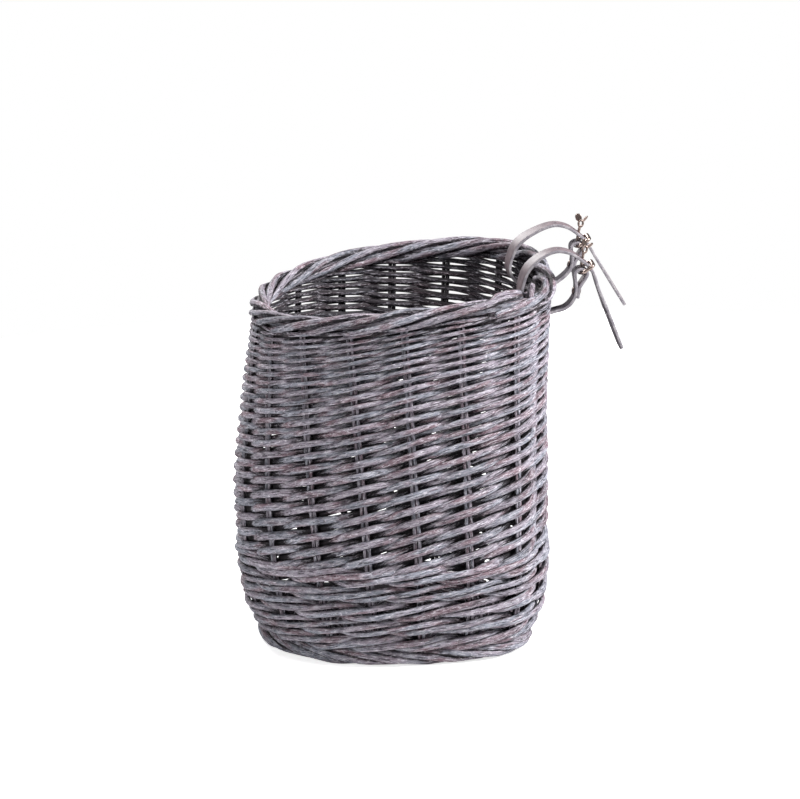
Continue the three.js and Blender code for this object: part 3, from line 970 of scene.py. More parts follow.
@dataclass
class UpsettWale:
    """Waling that sets up the wall: rounds of three rods, each in front of two stakes and behind one.

    Attributes:
        willow: What the woven pieces share.
        low: Height where the waling begins.
        rod: Diameter of a rod.
        uneven: How much thicker than that every other round is, and thinner the ones between, as a share.
        rods: Rods in a round.
        rounds: Rounds of the waling.
        sway: How far a rod climbs over its stroke in front of two stakes and falls behind the third.
        skew: How much longer the climb is than the fall, in radians of the stroke.
        stake: Radius of a stake's rods.
        press: How far a rod beds into the stake that it passes.
        proud: Reach of the outermost rods past the middle surface.
        lap: How far a round's end lies past its start, in stakes.
        stray: How far the rods may stray past the waling's edges.
        stake_mm: Length of a rod from stake to stake, for its bends.
        per_stake: Points along a rod from stake to stake.
    """

    willow: Willow
    low: float = 13.0
    rod: float = 6.0
    uneven: float = 0.08
    rods: int = 3
    rounds: int = 5
    sway: float = 5.6
    skew: float = 0.45
    stake: float = 1.8
    press: float = 0.5
    proud: float = 7.0
    lap: float = 0.4
    stray: float = 2.0
    stake_mm: float = 46.0
    per_stake: int = 8

    def build(self) -> None:
        """Build the waling as one piece."""
        form = self.willow.form
        pitch = (form.upsett_top - self.low) / self.rounds
        bundle = RodBundle("upsett_rods", form.shift)
        lowest, highest = self.low - self.stray, form.upsett_top + self.stray
        for turn in range(self.rounds):
            for lead in range(self.rods):
                rng = np.random.default_rng(500 + 10 * turn + lead)
                behind = lead + 2 + self.rods * turn
                place = np.linspace(0, form.stakes + self.lap, form.stakes * self.per_stake) + behind
                phase = 2 * math.pi * (place - lead - 0.5) / self.rods
                run = place * self.stake_mm
                thick = 1 + self.uneven * (-1) ** turn
                radius = self.rod / 2 * thick * rng.uniform(0.92, 1.08) * (1 + wobble(rng, run, 170, 0.12))
                climb = self.sway * np.sin(phase - self.skew * np.sin(phase)) + wobble(rng, run, 150, 1.0)
                height = np.clip(self.low + pitch * (turn + 0.5) + climb, lowest, highest)
                swing = self.stake + radius - self.press
                middle = self.proud - swing - radius
                offset = middle + swing / 3 * (1 + 3 * np.cos(phase) - np.cos(2 * phase))
                offset += wobble(rng, run, 120, 0.25)
                path = form.point(height, form.stake_angle(place, height), offset)
                bundle.add(path, radius, rng.uniform(0.2, 0.85), rng, offset)
        self.willow.settle(bundle, "washed_willow_weave", "upsett_wale")


@dataclass(frozen=True)
class FinishRod:
    """A rod's end at the place where a border was closed.

    Attributes:
        diameter: Thickness of the rod.
        points: Points along it, from the middle of the basket's plan.
    """

    diameter: float
    points: tuple[tuple[float, float, float], ...]


@dataclass
class RolledBorder:
    """Border of stakes turned down one over the next, which lie round a ring like the strands of a rope.

    Attributes:
        willow: What the woven pieces share.
        name: Name of the piece.
        node: Solid that it stands for.
        height: Height of the ring's middle.
        rod: Diameter of a strand.
        lay: Distance of the strands from the ring's middle.
        span: Length of a strand along the sides, in stakes.
        front_span: The same at the rounded front, where the strands cross the ring more steeply.
        back_span: The same at the flat back.
        start: Angle round the ring where a strand begins, up from outward.
        sweep: Angle that it goes round the ring, negative where it falls on the outside.
        seed: Source of its irregularities.
        core: Diameter of the ring that the strands lie round.
        short: Share of the sweep that is missing at the front, where the cut ends show.
        finish: Ends that stand out of the border where it was closed.
        out: How far out the strands count as lying, for the brushed wash and the painted shade of
        deeper rods.
        inner_wash: Share of the wash that reached their lower sides; the dark left there is partly
        painted shade.
        strand_mm: Length of a strand, for its bends.
        per_stake: Points along a strand from stake to stake.
    """

    willow: Willow
    name: str
    node: str
    height: float
    rod: float
    lay: float
    span: float
    front_span: float
    back_span: float
    start: float
    sweep: float
    seed: int
    core: float
    short: float = 0.0
    finish: tuple[FinishRod, ...] = ()
    out: float = 2.0
    inner_wash: float = 0.85
    strand_mm: float = 200.0
    per_stake: int = 12

    def build(self) -> None:
        """Build the border as one piece."""
        bundle = RodBundle(self.name, self.willow.form.shift, inner_wash=self.inner_wash)
        self.add_strands(bundle)
        self.add_core(bundle)
        self.add_finish(bundle)
        self.willow.settle(bundle, "washed_willow_weave", self.node)

    def add_strands(self, bundle: RodBundle) -> None:
        """Add the strands that lie round the ring.

        Args:
            bundle: Rods of the border.
        """
        form = self.willow.form
        along = np.linspace(0, 1, int(self.span * self.per_stake) + 1)
        run = along * self.strand_mm
        for i in range(form.stakes):
            rng = np.random.default_rng(self.seed + i)
            facing = math.sin(2 * math.pi * (i - self.span / 2) / form.stakes)
            frontness, backness = (0.5 - 0.5 * facing) ** 2, max(0.0, facing) ** 3
            span = self.span + (self.front_span - self.span) * frontness
            span += (self.back_span - self.span) * backness
            place = i - along * span + 0.1 * rng.standard_normal()
            sweep = math.radians(self.sweep) * (1 - self.short * frontness)
            turn = math.radians(self.start) + sweep * along + wobble(rng, run, 120, 0.06)
            lay = self.lay + wobble(rng, run, 90, 0.35)
            level = np.full_like(place, self.height)
            angle = form.stake_angle(place, level)
            ring = form.point(level, angle)
            path = form.point(level, angle, lay * np.cos(turn))
            path[:, 2] += lay * np.sin(turn)
            radius = self.rod / 2 * rng.uniform(0.88, 1.12) * (1.06 - 0.16 * along)
            bundle.add(path, radius, rng.uniform(0.2, 0.7), rng, self.out, path - ring)

    def add_core(self, bundle: RodBundle) -> None:
        """Add the ring that the strands lie round.

        Args:
            bundle: Rods of the border.
        """
        form = self.willow.form
        rng = np.random.default_rng(self.seed + 90)
        place = np.linspace(0, form.stakes, form.stakes * 4 + 1)
        level = np.full_like(place, self.height)
        path = form.point(level, form.stake_angle(place, level))
        bundle.add(path, np.full_like(place, self.core / 2), 0.1, rng)

    def add_finish(self, bundle: RodBundle) -> None:
        """Add the ends at the place where the border was closed, each rounded off at its tips.

        Args:
            bundle: Rods of the border.
        """
        form = self.willow.form
        for number, rod in enumerate(self.finish):
            rng = np.random.default_rng(self.seed + 95 + number)
            path = catmull(np.array(rod.points) + (0, form.shift, 0), 48)
            run = distance_along(path)
            left = np.minimum(run, run[-1] - run) / (rod.diameter / 2)
            radius = rod.diameter / 2 * np.sqrt(np.clip(1 - (1 - np.clip(left, 0, 1)) ** 2, 0.05, 1))
            bundle.add(path, radius, rng.uniform(0.5, 0.7), rng)


@dataclass
class WovenBase:
    """Bottom of the basket: a cross of sticks opened out like a fan, with pairs of rods woven round them.

    Attributes:
        willow: What the woven pieces share.
        lift: Height of the base's underside.
        thick: Thickness of the base.
        pierced: Sticks that are split to let the others through.
        through: Sticks that go through them.
        pierced_rod: Diameter of the split ones.
        through_rod: Diameter of the others.
        spacing: Gap between sticks that lie side by side.
        straight: How far from the middle they begin to fan out.
        end_inset: How far they end inside the foot border.
        border_gap: Gap between the base and the foot border.
        weaver: Diameter of a woven rod.
        packing: Distance between rounds, as a share of that.
        start_inset: How far inside the sticks' bends the weave begins.
        press: How far a woven rod beds into the stick that it passes.
        per_stick: Points along a woven rod from stick to stick.
    """

    willow: Willow
    lift: float = 1.5
    thick: float = 13.0
    pierced: int = 5
    through: int = 4
    pierced_rod: float = 8.4
    through_rod: float = 5.2
    spacing: float = 1.3
    straight: float = 27.0
    end_inset: float = 3.0
    border_gap: float = 0.3
    weaver: float = 4.6
    packing: float = 1.5
    start_inset: float = 3.0
    press: float = 0.6
    per_stick: int = 7

    @property
    def level(self) -> float:
        """Height of the sticks' middle."""
        return self.lift + self.thick / 2

    def edge(self, angle: np.ndarray, inset: float) -> np.ndarray:
        """Points inside the foot border, at the sticks' level.

        Args:
            angle: Angles from +X round the plan's centre.
            inset: How far inside the border's gap they lie.

        Returns:
            One point in a row, in mm.
        """
        form = self.willow.form
        foot = np.full_like(angle, form.foot_height)
        found = form.point(foot, angle, -form.wall / 2 - self.border_gap - inset)
        found[:, 2] = self.level
        return found

    def centre(self) -> np.ndarray:
        """Middle of the cross of sticks."""
        front, back = self.willow.form.stations[0][1:3]
        return np.array([0.0, (back - front) / 2 + self.willow.form.shift, self.level])

    def build(self) -> None:
        """Build the sticks and the weave round them."""
        self.build_sticks()
        self.build_weave()

    def build_sticks(self) -> None:
        """Build each stick as its own piece."""
        turn = math.pi / (self.pierced + self.through)
        centre = self.centre()
        for long in (True, False):
            count, rod = (self.pierced, self.pierced_rod) if long else (self.through, self.through_rod)
            for i in range(count):
                step = i - (count - 1) / 2
                ends = (math.pi / 2 - step * turn, -math.pi / 2 + step * turn)
                if not long:
                    ends = (step * turn, math.pi - step * turn)
                near, far = self.edge(np.array(ends), self.end_inset)
                across = step * (rod + self.spacing)
                bends = [(across, s * self.straight, 0) for s in (1, -1)]
                knees = [centre + np.array((x, y, z) if long else (y, x, z)) for x, y, z in bends]
                path = catmull(np.array([near, (near + knees[0]) / 2, *knees, (far + knees[1]) / 2, far]), 40)
                rng = np.random.default_rng(800 + 10 * long + i)
                taper = 1 - 0.25 * np.linspace(-1, 1, len(path)) ** 4
                kind = "long" if long else "cross"
                bundle = RodBundle(f"base_rod_{kind}_{i + 1}", self.willow.form.shift, sides=10)
                bundle.add(path, rod / 2 * taper, rng.uniform(0.2, 0.6), rng)
                self.willow.settle(bundle, "washed_willow_stake", f"base_stick_{kind}_{i + 1}")

    def build_weave(self) -> None:
        """Build the pairs of rods that go round the sticks, each over one and under the next."""
        form = self.willow.form
        bundle = RodBundle("base_rods", form.shift)
        spokes = 2 * (self.pierced + self.through)
        pitch = self.packing * self.weaver
        centre = self.centre()
        inner = self.straight - self.start_inset
        reach = float(np.mean(form.stations[0][1:])) - form.wall / 2
        turns = (reach - inner - self.weaver) / pitch
        for lead in range(2):
            rng = np.random.default_rng(900 + lead)
            whole = (turns + 1) * spokes
            place = np.linspace(0, whole, int(whole * self.per_stick))
            phase = math.pi * (place - lead)
            angle = 2 * math.pi * (place + 0.5) / spokes
            rim = self.edge(angle, self.weaver / 2)
            share = (inner + pitch * (place / spokes + 0.25 * np.sin(phase))) / reach
            path = centre + (rim - centre) * np.clip(share, 0, 1)[:, None]
            out = np.linspace(0, 1, len(place))
            hug = self.through_rod / 2 + self.weaver / 2 - self.press + 0.5 * out
            path[:, 2] = self.level + hug * np.cos(phase)
            radius = self.weaver / 2 * (1.05 - 0.1 * out)
            bundle.add(path, radius, rng.uniform(0.3, 0.6), rng)
        self.willow.settle(bundle, "washed_willow_weave", "base_weave")


# Straps and buckles


class Side(Enum):
    """The two handlebar straps, by the rider's hand."""

    LEFT = "left"
    RIGHT = "right"


class LeatherFace(IntEnum):
    """Material places of a leather band."""

    GRAIN = 0
    EDGE = 1
    FLESH = 2


@dataclass(frozen=True)
class Opening:
    """A hole or slot punched through a band.

    Attributes:
        middle: Its middle, in mm.
        way: Direction that the punch goes.
        along: Direction of its length.
        length: Its length, equal to its width for a round hole.
        width: Its width.
        depth: How far the punch goes.
    """

    middle: np.ndarray
    way: np.ndarray
    along: np.ndarray
    length: float
    width: float
    depth: float

    def cutter(self) -> bpy.types.Object:
        """Make the punch, which is taken away after the cut.

        Returns:
            The punch, which isn't linked into the scene.
        """
        steps = 24
        turn = np.arange(steps) * 2 * math.pi / steps
        across = np.cross(self.way, self.along)
        stretch = (self.length - self.width) / 2 * np.sign(np.round(np.cos(turn), 6))
        u = self.width / 2 * np.cos(turn) + stretch
        v = self.width / 2 * np.sin(turn)
        rim = self.middle + u[:, None] * self.along + v[:, None] * across
        ends = [rim + self.way * self.depth * side / 2 for side in (-1, 1)]
        faces = [tuple(reversed(range(steps))), tuple(steps + i for i in range(steps))]
        faces += [(i, (i + 1) % steps, steps + (i + 1) % steps, steps + i) for i in range(steps)]
        mesh = bpy.data.meshes.new("punch")
        mesh.from_pydata(np.concatenate(ends) * MM, [], faces)
        mesh.polygons.foreach_set("material_index", np.full(len(faces), int(LeatherFace.EDGE), np.int32))
        return bpy.data.objects.new("punch", mesh)


@dataclass
class LeatherBand:
    """A flat band of leather swept along a path, with rounded edges.

    Attributes:
        name: Name of the piece.
        path: Points along its middle, in mm.
        twist: Turn of the band about its path at each point, in radians.
        widths: Share of the full width at each point.
        width: Full width.
        thickness: Thickness of the leather.
        openings: Holes and slots through it.
        soft: How far in its edges are rounded off.
        flats: Points across each of its two sides.
    """

    name: str
    path: np.ndarray
    twist: np.ndarray
    widths: np.ndarray
    width: float
    thickness: float
    openings: list[Opening]
    soft: float = 0.75
    flats: int = 7

    def section(self) -> tuple[np.ndarray, list[LeatherFace]]:
        """Outline of the band across its path.

        Returns:
            Points of the outline, and the material of the face after each of them.
        """
        half, thick, soft = self.width / 2, self.thickness / 2, self.soft
        flat = np.linspace(-1, 1, self.flats) * (half - soft)
        top = [(u, thick) for u in flat[::-1]]
        left = [(-half + 0.25 * soft, thick - 0.25 * soft), (-half, thick - soft), (-half, soft - thick)]
        left += [(-half + 0.25 * soft, 0.25 * soft - thick)]
        bottom = [(u, -thick) for u in flat]
        right = [(-u, -v) for u, v in left]
        edge = [LeatherFace.EDGE] * (len(left) + 1)
        kinds = [LeatherFace.GRAIN] * (self.flats - 1) + edge + [LeatherFace.FLESH] * (self.flats - 1) + edge
        return np.array(top + left + bottom + right), kinds

    def build(self, materials: list[bpy.types.Material]) -> bpy.types.Object:
        """Make the band's object.

        Args:
            materials: Grain, edge and flesh, in the order of LeatherFace.

        Returns:
            The object, linked into the scene.
        """
        outline, kinds = self.section()
        way = np.gradient(self.path, axis=0)
        way /= np.linalg.norm(way, axis=1)[:, None]
        flat_out = np.stack([np.zeros(len(way)), -way[:, 2], way[:, 1]], -1)
        across = np.tile([1.0, 0.0, 0.0], (len(way), 1))
        cos, sin = np.cos(self.twist)[:, None], np.sin(self.twist)[:, None]
        out = flat_out * cos + np.cross(way, flat_out) * sin
        wide = across * cos + np.cross(way, across) * sin
        u, v = outline[:, 0], outline[:, 1]
        rings = (
            self.path[:, None, :]
            + (u[None, :] * self.widths[:, None])[..., None] * wide[:, None, :]
            + v[None, :, None] * out[:, None, :]
        )
        n, sides = len(self.path), len(outline)
        faces = tube_faces(0, n, sides)
        slots = [int(kind) for kind in kinds] * (n - 1) + [int(LeatherFace.EDGE)] * 2
        mesh = bpy.data.meshes.new(self.name)
        mesh.from_pydata(rings.reshape(-1, 3) * MM, [], faces)
        for material in materials:
            mesh.materials.append(material)
        mesh.polygons.foreach_set("material_index", np.array(slots, np.int32))
        mesh.polygons.foreach_set("use_smooth", np.ones(len(faces), bool))
        mesh.update()
        made = add_object(self.name, mesh)
        self.punch(made)
        return made

    def punch(self, band: bpy.types.Object) -> None:
        """Cut the openings out of the band.

        Args:
            band: The band's object, whose mesh is replaced by the cut one.
        """
        for opening in self.openings:
            cutter = opening.cutter()
            cut = band.modifiers.new("opening", "BOOLEAN")
            cut.object, cut.operation, cut.solver = cutter, "DIFFERENCE", "EXACT"
            bpy.context.view_layer.update()
            whole, seen = band.data, band.evaluated_get(bpy.context.evaluated_depsgraph_get())
            band.data = bpy.data.meshes.new_from_object(seen)
            band.modifiers.clear()
            bpy.data.meshes.remove(whole)
            bpy.data.meshes.remove(cutter.data)
        band.data.name = self.name
        band.data.set_sharp_from_angle(angle=math.radians(40))


@dataclass
class MetalWire:
    """Round or flattened wire bent along paths and gathered into one mesh.

    Attributes:
        name: Name of the piece.
        sides: Faces round the wire.
        points: Points of the mesh, one array for each length of wire.
        faces: Faces of the mesh.
        size: Points so far.
    """

    name: str
    sides: int = 14
    points: list[np.ndarray] = field(default_factory=list)
    faces: list[tuple[int, ...]] = field(default_factory=list)
    size: int = 0

    def add(
        self, path: np.ndarray, wide: np.ndarray, thick: np.ndarray, across: np.ndarray, closed: bool = False
    ) -> None:
        """Add one length of wire.

        Args:
            path: Points along its middle, in mm.
            wide: Half its width at each point.
            thick: Half its thickness at each point.
            across: Direction of its width.
            closed: Whether its end meets its start.
        """
        n = len(path)
        way = np.roll(path, -1, 0) - np.roll(path, 1, 0) if closed else np.gradient(path, axis=0)
        way /= np.linalg.norm(way, axis=1)[:, None]
        side = across - way * (way @ across)[:, None]
        side /= np.linalg.norm(side, axis=1)[:, None]
        out = np.cross(way, side)
        around = np.arange(self.sides) * 2 * math.pi / self.sides
        u, v = np.outer(wide, np.cos(around)), np.outer(thick, np.sin(around))
        rings = path[:, None, :] + u[..., None] * side[:, None, :] + v[..., None] * out[:, None, :]
        self.points.append(rings.reshape(-1, 3))
        self.faces += tube_faces(self.size, n, self.sides, closed)
        self.size += n * self.sides

    def piece(self, metal: bpy.types.Material) -> bpy.types.Object:
        """Make the wire's object.

        Args:
            metal: Its material.

        Returns:
            The object, linked into the scene.
        """
        mesh = bpy.data.meshes.new(self.name)
        mesh.from_pydata(np.concatenate(self.points) * MM, [], self.faces)
        mesh.materials.append(metal)
        mesh.polygons.foreach_set("use_smooth", np.ones(len(self.faces), bool))
        mesh.update()
        mesh.set_sharp_from_angle(angle=math.radians(50))
        return add_object(self.name, mesh)


@dataclass(frozen=True)
class ProngSizes:
    """Sizes of a buckle's prong, with those of wire as half a width and half a thickness.

    Attributes:
        eye: Radius of the eye round the heel bar.
        eye_wire: Wire of the eye.
        shank: Where the shank begins and ends, from the heel bar.
        shank_wire: Wire of the shank.
        bend: How far the shank's end bends forward.
        bend_start: Where on the shank that begins.
        bend_length: How much further up it is full.
        ring: Where the eyelet's middle lies, up and forward from the heel bar.
        ring_half: Half the eyelet's height and half its width.
        ring_wire: Half the thickness of its wire.
        leaf_start: Where a leaf of the tip begins, from the eyelet's middle.
        leaf_length: Length of a leaf.
        leaf_root: Half its width where it begins.
        leaf_full: Share of its length after which it is broadest.
        leaf_thick: Half its thickness.
        leaf_least: Half its width at the tip.
    """

    eye: float = 2.35
    eye_wire: tuple[float, float] = (1.6, 0.65)
    shank: tuple[float, float] = (2.2, 17.6)
    shank_wire: tuple[float, float] = (1.5, 1.3)
    bend: float = 0.6
    bend_start: float = 8.0
    bend_length: float = 9.0
    ring: tuple[float, float] = (20.0, 1.0)
    ring_half: tuple[float, float] = (2.9, 2.0)
    ring_wire: float = 1.0
    leaf_start: float = 1.8
    leaf_length: float = 7.8
    leaf_root: float = 0.9
    leaf_full: float = 0.45
    leaf_thick: float = 0.7
    leaf_least: float = 0.15


@dataclass
class HandlebarStrap:
    """One strap: a band folded round the buckle's heel bar, threaded through the wall and over the border.

    Attributes:
        side: Which of the two straps.
        leathers: Grain, edge and flesh.
        metal: Material of the buckle.
        reach: How much further its buckle stands off than on the other strap.
        lift: How much higher it stands.
        tail_length: Length of its free end.
        tail_fall: Slope of the free end under the horizontal, in degrees.
        tip_turn: Turn of the prong's spread tip about its shank, in radians.
        tip_leaves: Lean of each leaf of the tip away from the shank, in radians, and half its width.
        tail_turn: Turn of the free end about its length, in radians.
        width: Width of the leather.
        thickness: Thickness of the leather.
        fold_radius: Radius of the fold round the buckle's heel bar.
        passage: Distance from the border's middle at which the band goes round under it.
        clear: Gap between pieces that lie against each other.
        wire: Diameter of the buckle's wire.
        buckle_length: Distance from its heel bar to its front bar.
        buckle_play: Room for the band at each side of it.
        buckle_corner: Radius of its corners.
        buckle_tilt: Slope of the buckle, in degrees.
        bar_swell: How much thicker than the heel bar the rest of its wire is, in radius.
        rib: Height of the ribs on its front bar.
        rib_pitch: Distance between ribs.
        prong: Sizes of the prong.
        prong_lean: Slope of the prong, in degrees.
        hole: Diameter of the holes.
        holes: Spare holes in the free end.
        hole_start: Where the first of them lies.
        hole_pitch: Distance between them.
        slot_length: Length of the slot that lets the prong through the fold.
        slot_width: Width of that slot.
        slot_place: Its middle, back and up from the heel bar.
        hole_depth: How far the punch for a hole goes.
        slot_depth: How far the one for the slot goes, through both layers of the fold.
        lap: Where the folded end stops on the band, as a share of the loop's first span.
        rivet_share: Where the rivet lies on that span, as a share.
        rivet_head: Diameter of its heads.
        rivet_rise: Height of its heads.
        rivet_rim: Height of their upright rims.
        rivet_neck: How far the shank lies in from the rim.
        tail_bend: Length over which the free end bends down.
        tail_lead: How far it goes straight on before that.
        turn: Turn of the band about its length inside the basket, in degrees.
        turn_point: Point of the loop where it is turned most.
        turn_reach: How many points away the turn has faded.
        loop: Points along the band, back and up from the border, and their share of reach and lift.
        passage_turns: Angles of its points under the border, in degrees.
        heel: Place of the heel bar, back and up from the border.
    """

    side: Side
    leathers: list[bpy.types.Material]
    metal: bpy.types.Material
    reach: float
    lift: float
    tail_length: float
    tail_fall: float
    tip_turn: float
    tip_leaves: tuple[tuple[float, float], ...]
    tail_turn: float
    width: float = 16.0
    thickness: float = 2.6
    fold_radius: float = 5.5
    passage: float = 24.0
    clear: float = 0.3
    wire: float = 2.8
    buckle_length: float = 12.5
    buckle_play: float = 1.2
    buckle_corner: float = 2.8
    buckle_tilt: float = 33.0
    bar_swell: float = 0.35
    rib: float = 0.32
    rib_pitch: float = 2.4
    prong: ProngSizes = ProngSizes()
    prong_lean: float = 81.0
    hole: float = 3.0
    holes: int = 3
    hole_start: float = 30.0
    hole_pitch: float = 14.0
    slot_length: float = 20.0
    slot_width: float = 4.2
    slot_place: tuple[float, float] = (2.4, 6.5)
    hole_depth: float = 9.0
    slot_depth: float = 14.0
    lap: float = 0.95
    rivet_share: float = 0.45
    rivet_head: float = 6.4
    rivet_rise: float = 1.2
    rivet_rim: float = 0.25
    rivet_neck: float = 2.0
    tail_bend: float = 20.0
    tail_lead: float = 0.9
    turn: float = 13.0
    turn_point: int = 10
    turn_reach: float = 1.9
    loop: tuple[tuple[float, float, float], ...] = (
        (26.6, -1.5, 1.0),
        (24.6, -11.5, 0.8),
        (17.4, -19.8, 0.3),
        (-20.6, -12.4, 0.0),
        (-23.2, -2.5, 0.0),
        (-18.6, 13.0, 0.05),
        (-10.2, 22.8, 0.2),
        (0.7, 29.4, 0.8),
        (11.4, 31.6, 1.0),
        (22.2, 29.0, 1.0),
        (30.5, 23.4, 1.0),
        (37.0, 17.6, 1.0),
        (39.6, 13.9, 1.0),
    )
    passage_turns: tuple[float, ...] = (-72.0, -85.0, -98.0, -111.0, -126.0)
    heel: tuple[float, float] = (31.0, 11.5)

    def body(self, part: str) -> str:
        """Name of one of this strap's bodies."""
        return f"{self.side.value}_{part}"

    def axis(self) -> np.ndarray:
        """Point on the border that the strap swings round, in mm."""
        swing = next(j for j in frame["joints"] if j["name"] == self.body("strap_swing"))
        return np.array(swing["pos_m"]) / MM

    def slot(self) -> tuple[float, float, float]:
        """Where the strap goes through the wall."""
        x, y, z = self.axis()
        return x, y, z - self.passage

    def place(self, dy: float, dz: float, share: float) -> np.ndarray:
        """A point beside the border, moved by its share of the buckle's reach and lift."""
        x, y, z = self.axis()
        return np.array([x, y + dy + share * self.reach, z + dz + share * self.lift])

    def loop_points(self) -> np.ndarray:
        """Points of the band from the fold to the buckle's front bar.

        Returns:
            One point in a row, in mm.
        """
        turns = [math.radians(a) for a in self.passage_turns]
        arc = [(self.passage * math.cos(t), self.passage * math.sin(t), 0.0) for t in turns]
        return np.array([self.place(*p) for p in (*self.loop[:3], *arc, *self.loop[3:])])

    def heel_point(self) -> np.ndarray:
        """Middle of the buckle's heel bar."""
        return self.place(*self.heel, 1.0)

    def build(self) -> None:
        """Build the strap, its tail, its rivet and its buckle."""
        self.build_strap()
        self.build_tail()
        self.build_rivet()
        self.build_frame()
        self.build_prong()

    def outward(self) -> np.ndarray:
        """Direction that faces away from the basket where the band's folded end lies on it.

        Returns:
            The direction, of length 1.
        """
        loop = self.loop_points()
        down = (loop[1] - loop[0]) / np.linalg.norm(loop[1] - loop[0])
        return np.array([0.0, -down[2], down[1]])

    def settle_metal(self, wire: MetalWire, body: str, node: str) -> None:
        """Make a metal piece, which rides on its body in place of its solid.

        Args:
            wire: The piece's wire.
            body: Body that it rides on.
            node: Solid that it stands for.
        """
        made = wire.piece(self.metal)
        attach(made, self.body(body))
        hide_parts(self.body(node))
        log.info("%s: %d faces", made.name, len(wire.faces))

    def build_rivet(self) -> None:
        """Build the rivet: two domed heads on a shank, which hold the folded end to the band."""
        loop, outward = self.loop_points(), self.outward()
        layer = self.thickness + self.clear
        spot = loop[0] + self.rivet_share * (loop[1] - loop[0]) + outward * layer / 2
        bearing = layer / 2 + self.thickness / 2 + self.clear / 2
        turn = np.radians(np.linspace(88, 0, 10))
        head = self.rivet_head / 2
        dome = bearing + self.rivet_rim + (self.rivet_rise - self.rivet_rim) * np.sin(turn)
        # Under the dome the rim is chamfered a little and meets the shank.
        heights = np.concatenate([dome, [bearing + 0.1, bearing, bearing - 0.05]])
        radii = np.concatenate([head * np.cos(turn), head - np.array([0.0, 0.15, self.rivet_neck])])
        heights, radii = np.concatenate([heights, -heights[::-1]]), np.concatenate([radii, radii[::-1]])
        wire = MetalWire(self.body("rivet_dome"), 24)
        wire.add(spot + heights[:, None] * outward, radii, radii, np.array([1.0, 0.0, 0.0]))
        self.settle_metal(wire, "strap_loop", "strap_rivet")

    def build_frame(self) -> None:
        """Build the buckle's frame: a bent wire rectangle whose front bar is ribbed to hold the band."""
        half = self.width / 2 + self.buckle_play + self.wire / 2
        corner, length = self.buckle_corner, self.buckle_length
        corners = (
            (half - corner, corner, -90),
            (half - corner, length - corner, 0),
            (corner - half, length - corner, 90),
            (corner - half, corner, 180),
        )
        flat: list[tuple[float, float]] = []
        for u, v, first in corners:
            turns = np.radians(np.linspace(0, 90, 8)) + math.radians(first)
            flat += [(u + corner * math.cos(t), v + corner * math.sin(t)) for t in turns]
            if first == 0:
                flat += [(u - (2 * u) * step / 40, length) for step in range(1, 40)]
        tilt = math.radians(self.buckle_tilt)
        heel = self.heel_point()
        path = np.array([heel + (u, v * math.cos(tilt), v * math.sin(tilt)) for u, v in flat])
        front = np.array([v > length - 0.01 and abs(u) < half - corner - 0.3 for u, v in flat])
        waves = np.cos(2 * math.pi * np.array([u for u, _ in flat]) / self.rib_pitch)
        ribs = self.rib / 2 + self.rib / 2 * waves
        heavy = np.clip(np.array([v for _, v in flat]) / corner - 0.5, 0, 1)
        radius = self.wire / 2 + self.bar_swell * heavy + np.where(front, ribs, 0.0)
        wire = MetalWire(self.body("buckle_wire"))
        wire.add(path, radius, radius, np.array([0.0, -math.sin(tilt), math.cos(tilt)]), closed=True)
        self.settle_metal(wire, "frame", "buckle_frame")

    def build_prong(self) -> None:
        """Build the prong: an eye round the heel bar, a shank, and an eyelet with two leaves at its tip."""
        heel, sizes = self.heel_point(), self.prong
        lean = math.radians(self.prong_lean)
        up = np.array([0.0, math.cos(lean), math.sin(lean)])
        ahead = np.array([0.0, math.sin(lean), -math.cos(lean)])
        x_way = np.array([1.0, 0.0, 0.0])
        wire = MetalWire(self.body("prong_wire"))
        turn = np.arange(28) * 2 * math.pi / 28
        eye = heel + sizes.eye * (np.cos(turn)[:, None] * up + np.sin(turn)[:, None] * ahead)
        wide, thick = (np.full(len(turn), size) for size in sizes.eye_wire)
        wire.add(eye, wide, thick, x_way, closed=True)
        run = np.linspace(*sizes.shank, 24)
        bend = sizes.bend * np.clip((run - sizes.bend_start) / sizes.bend_length, 0, 1) ** 2
        shank = heel + run[:, None] * up + bend[:, None] * ahead
        wide, thick = (np.full(len(run), size) for size in sizes.shank_wire)
        wire.add(shank, wide, thick, x_way)
        ring = heel + sizes.ring[0] * up + sizes.ring[1] * ahead
        spread = self.tip_turn
        side = math.cos(spread) * ahead + math.sin(spread) * x_way
        flat = -math.sin(spread) * ahead + math.cos(spread) * x_way
        tall, across = sizes.ring_half
        loop = ring + tall * np.cos(turn)[:, None] * up + across * np.sin(turn)[:, None] * side
        thick = np.full(len(turn), sizes.ring_wire)
        wire.add(loop, thick, thick, flat, closed=True)
        along = np.linspace(0, 1, 20)
        thick = np.full(len(along), sizes.leaf_thick)
        opened = np.sin(math.pi / 2 * np.clip(along / sizes.leaf_full, 0, 1))
        closing = np.sqrt(np.clip(1.02 - along**6, 0.02, 1))
        for sway, broad in self.tip_leaves:
            way = math.cos(sway) * up + math.sin(sway) * side
            leaf = ring + sizes.leaf_start * way + sizes.leaf_length * along[:, None] * way
            wide = (sizes.leaf_root + (broad - sizes.leaf_root) * opened) * closing
            wire.add(leaf, np.maximum(wide, sizes.leaf_least), thick, np.cross(flat, way))
        self.settle_metal(wire, "prong", "buckle_prong")

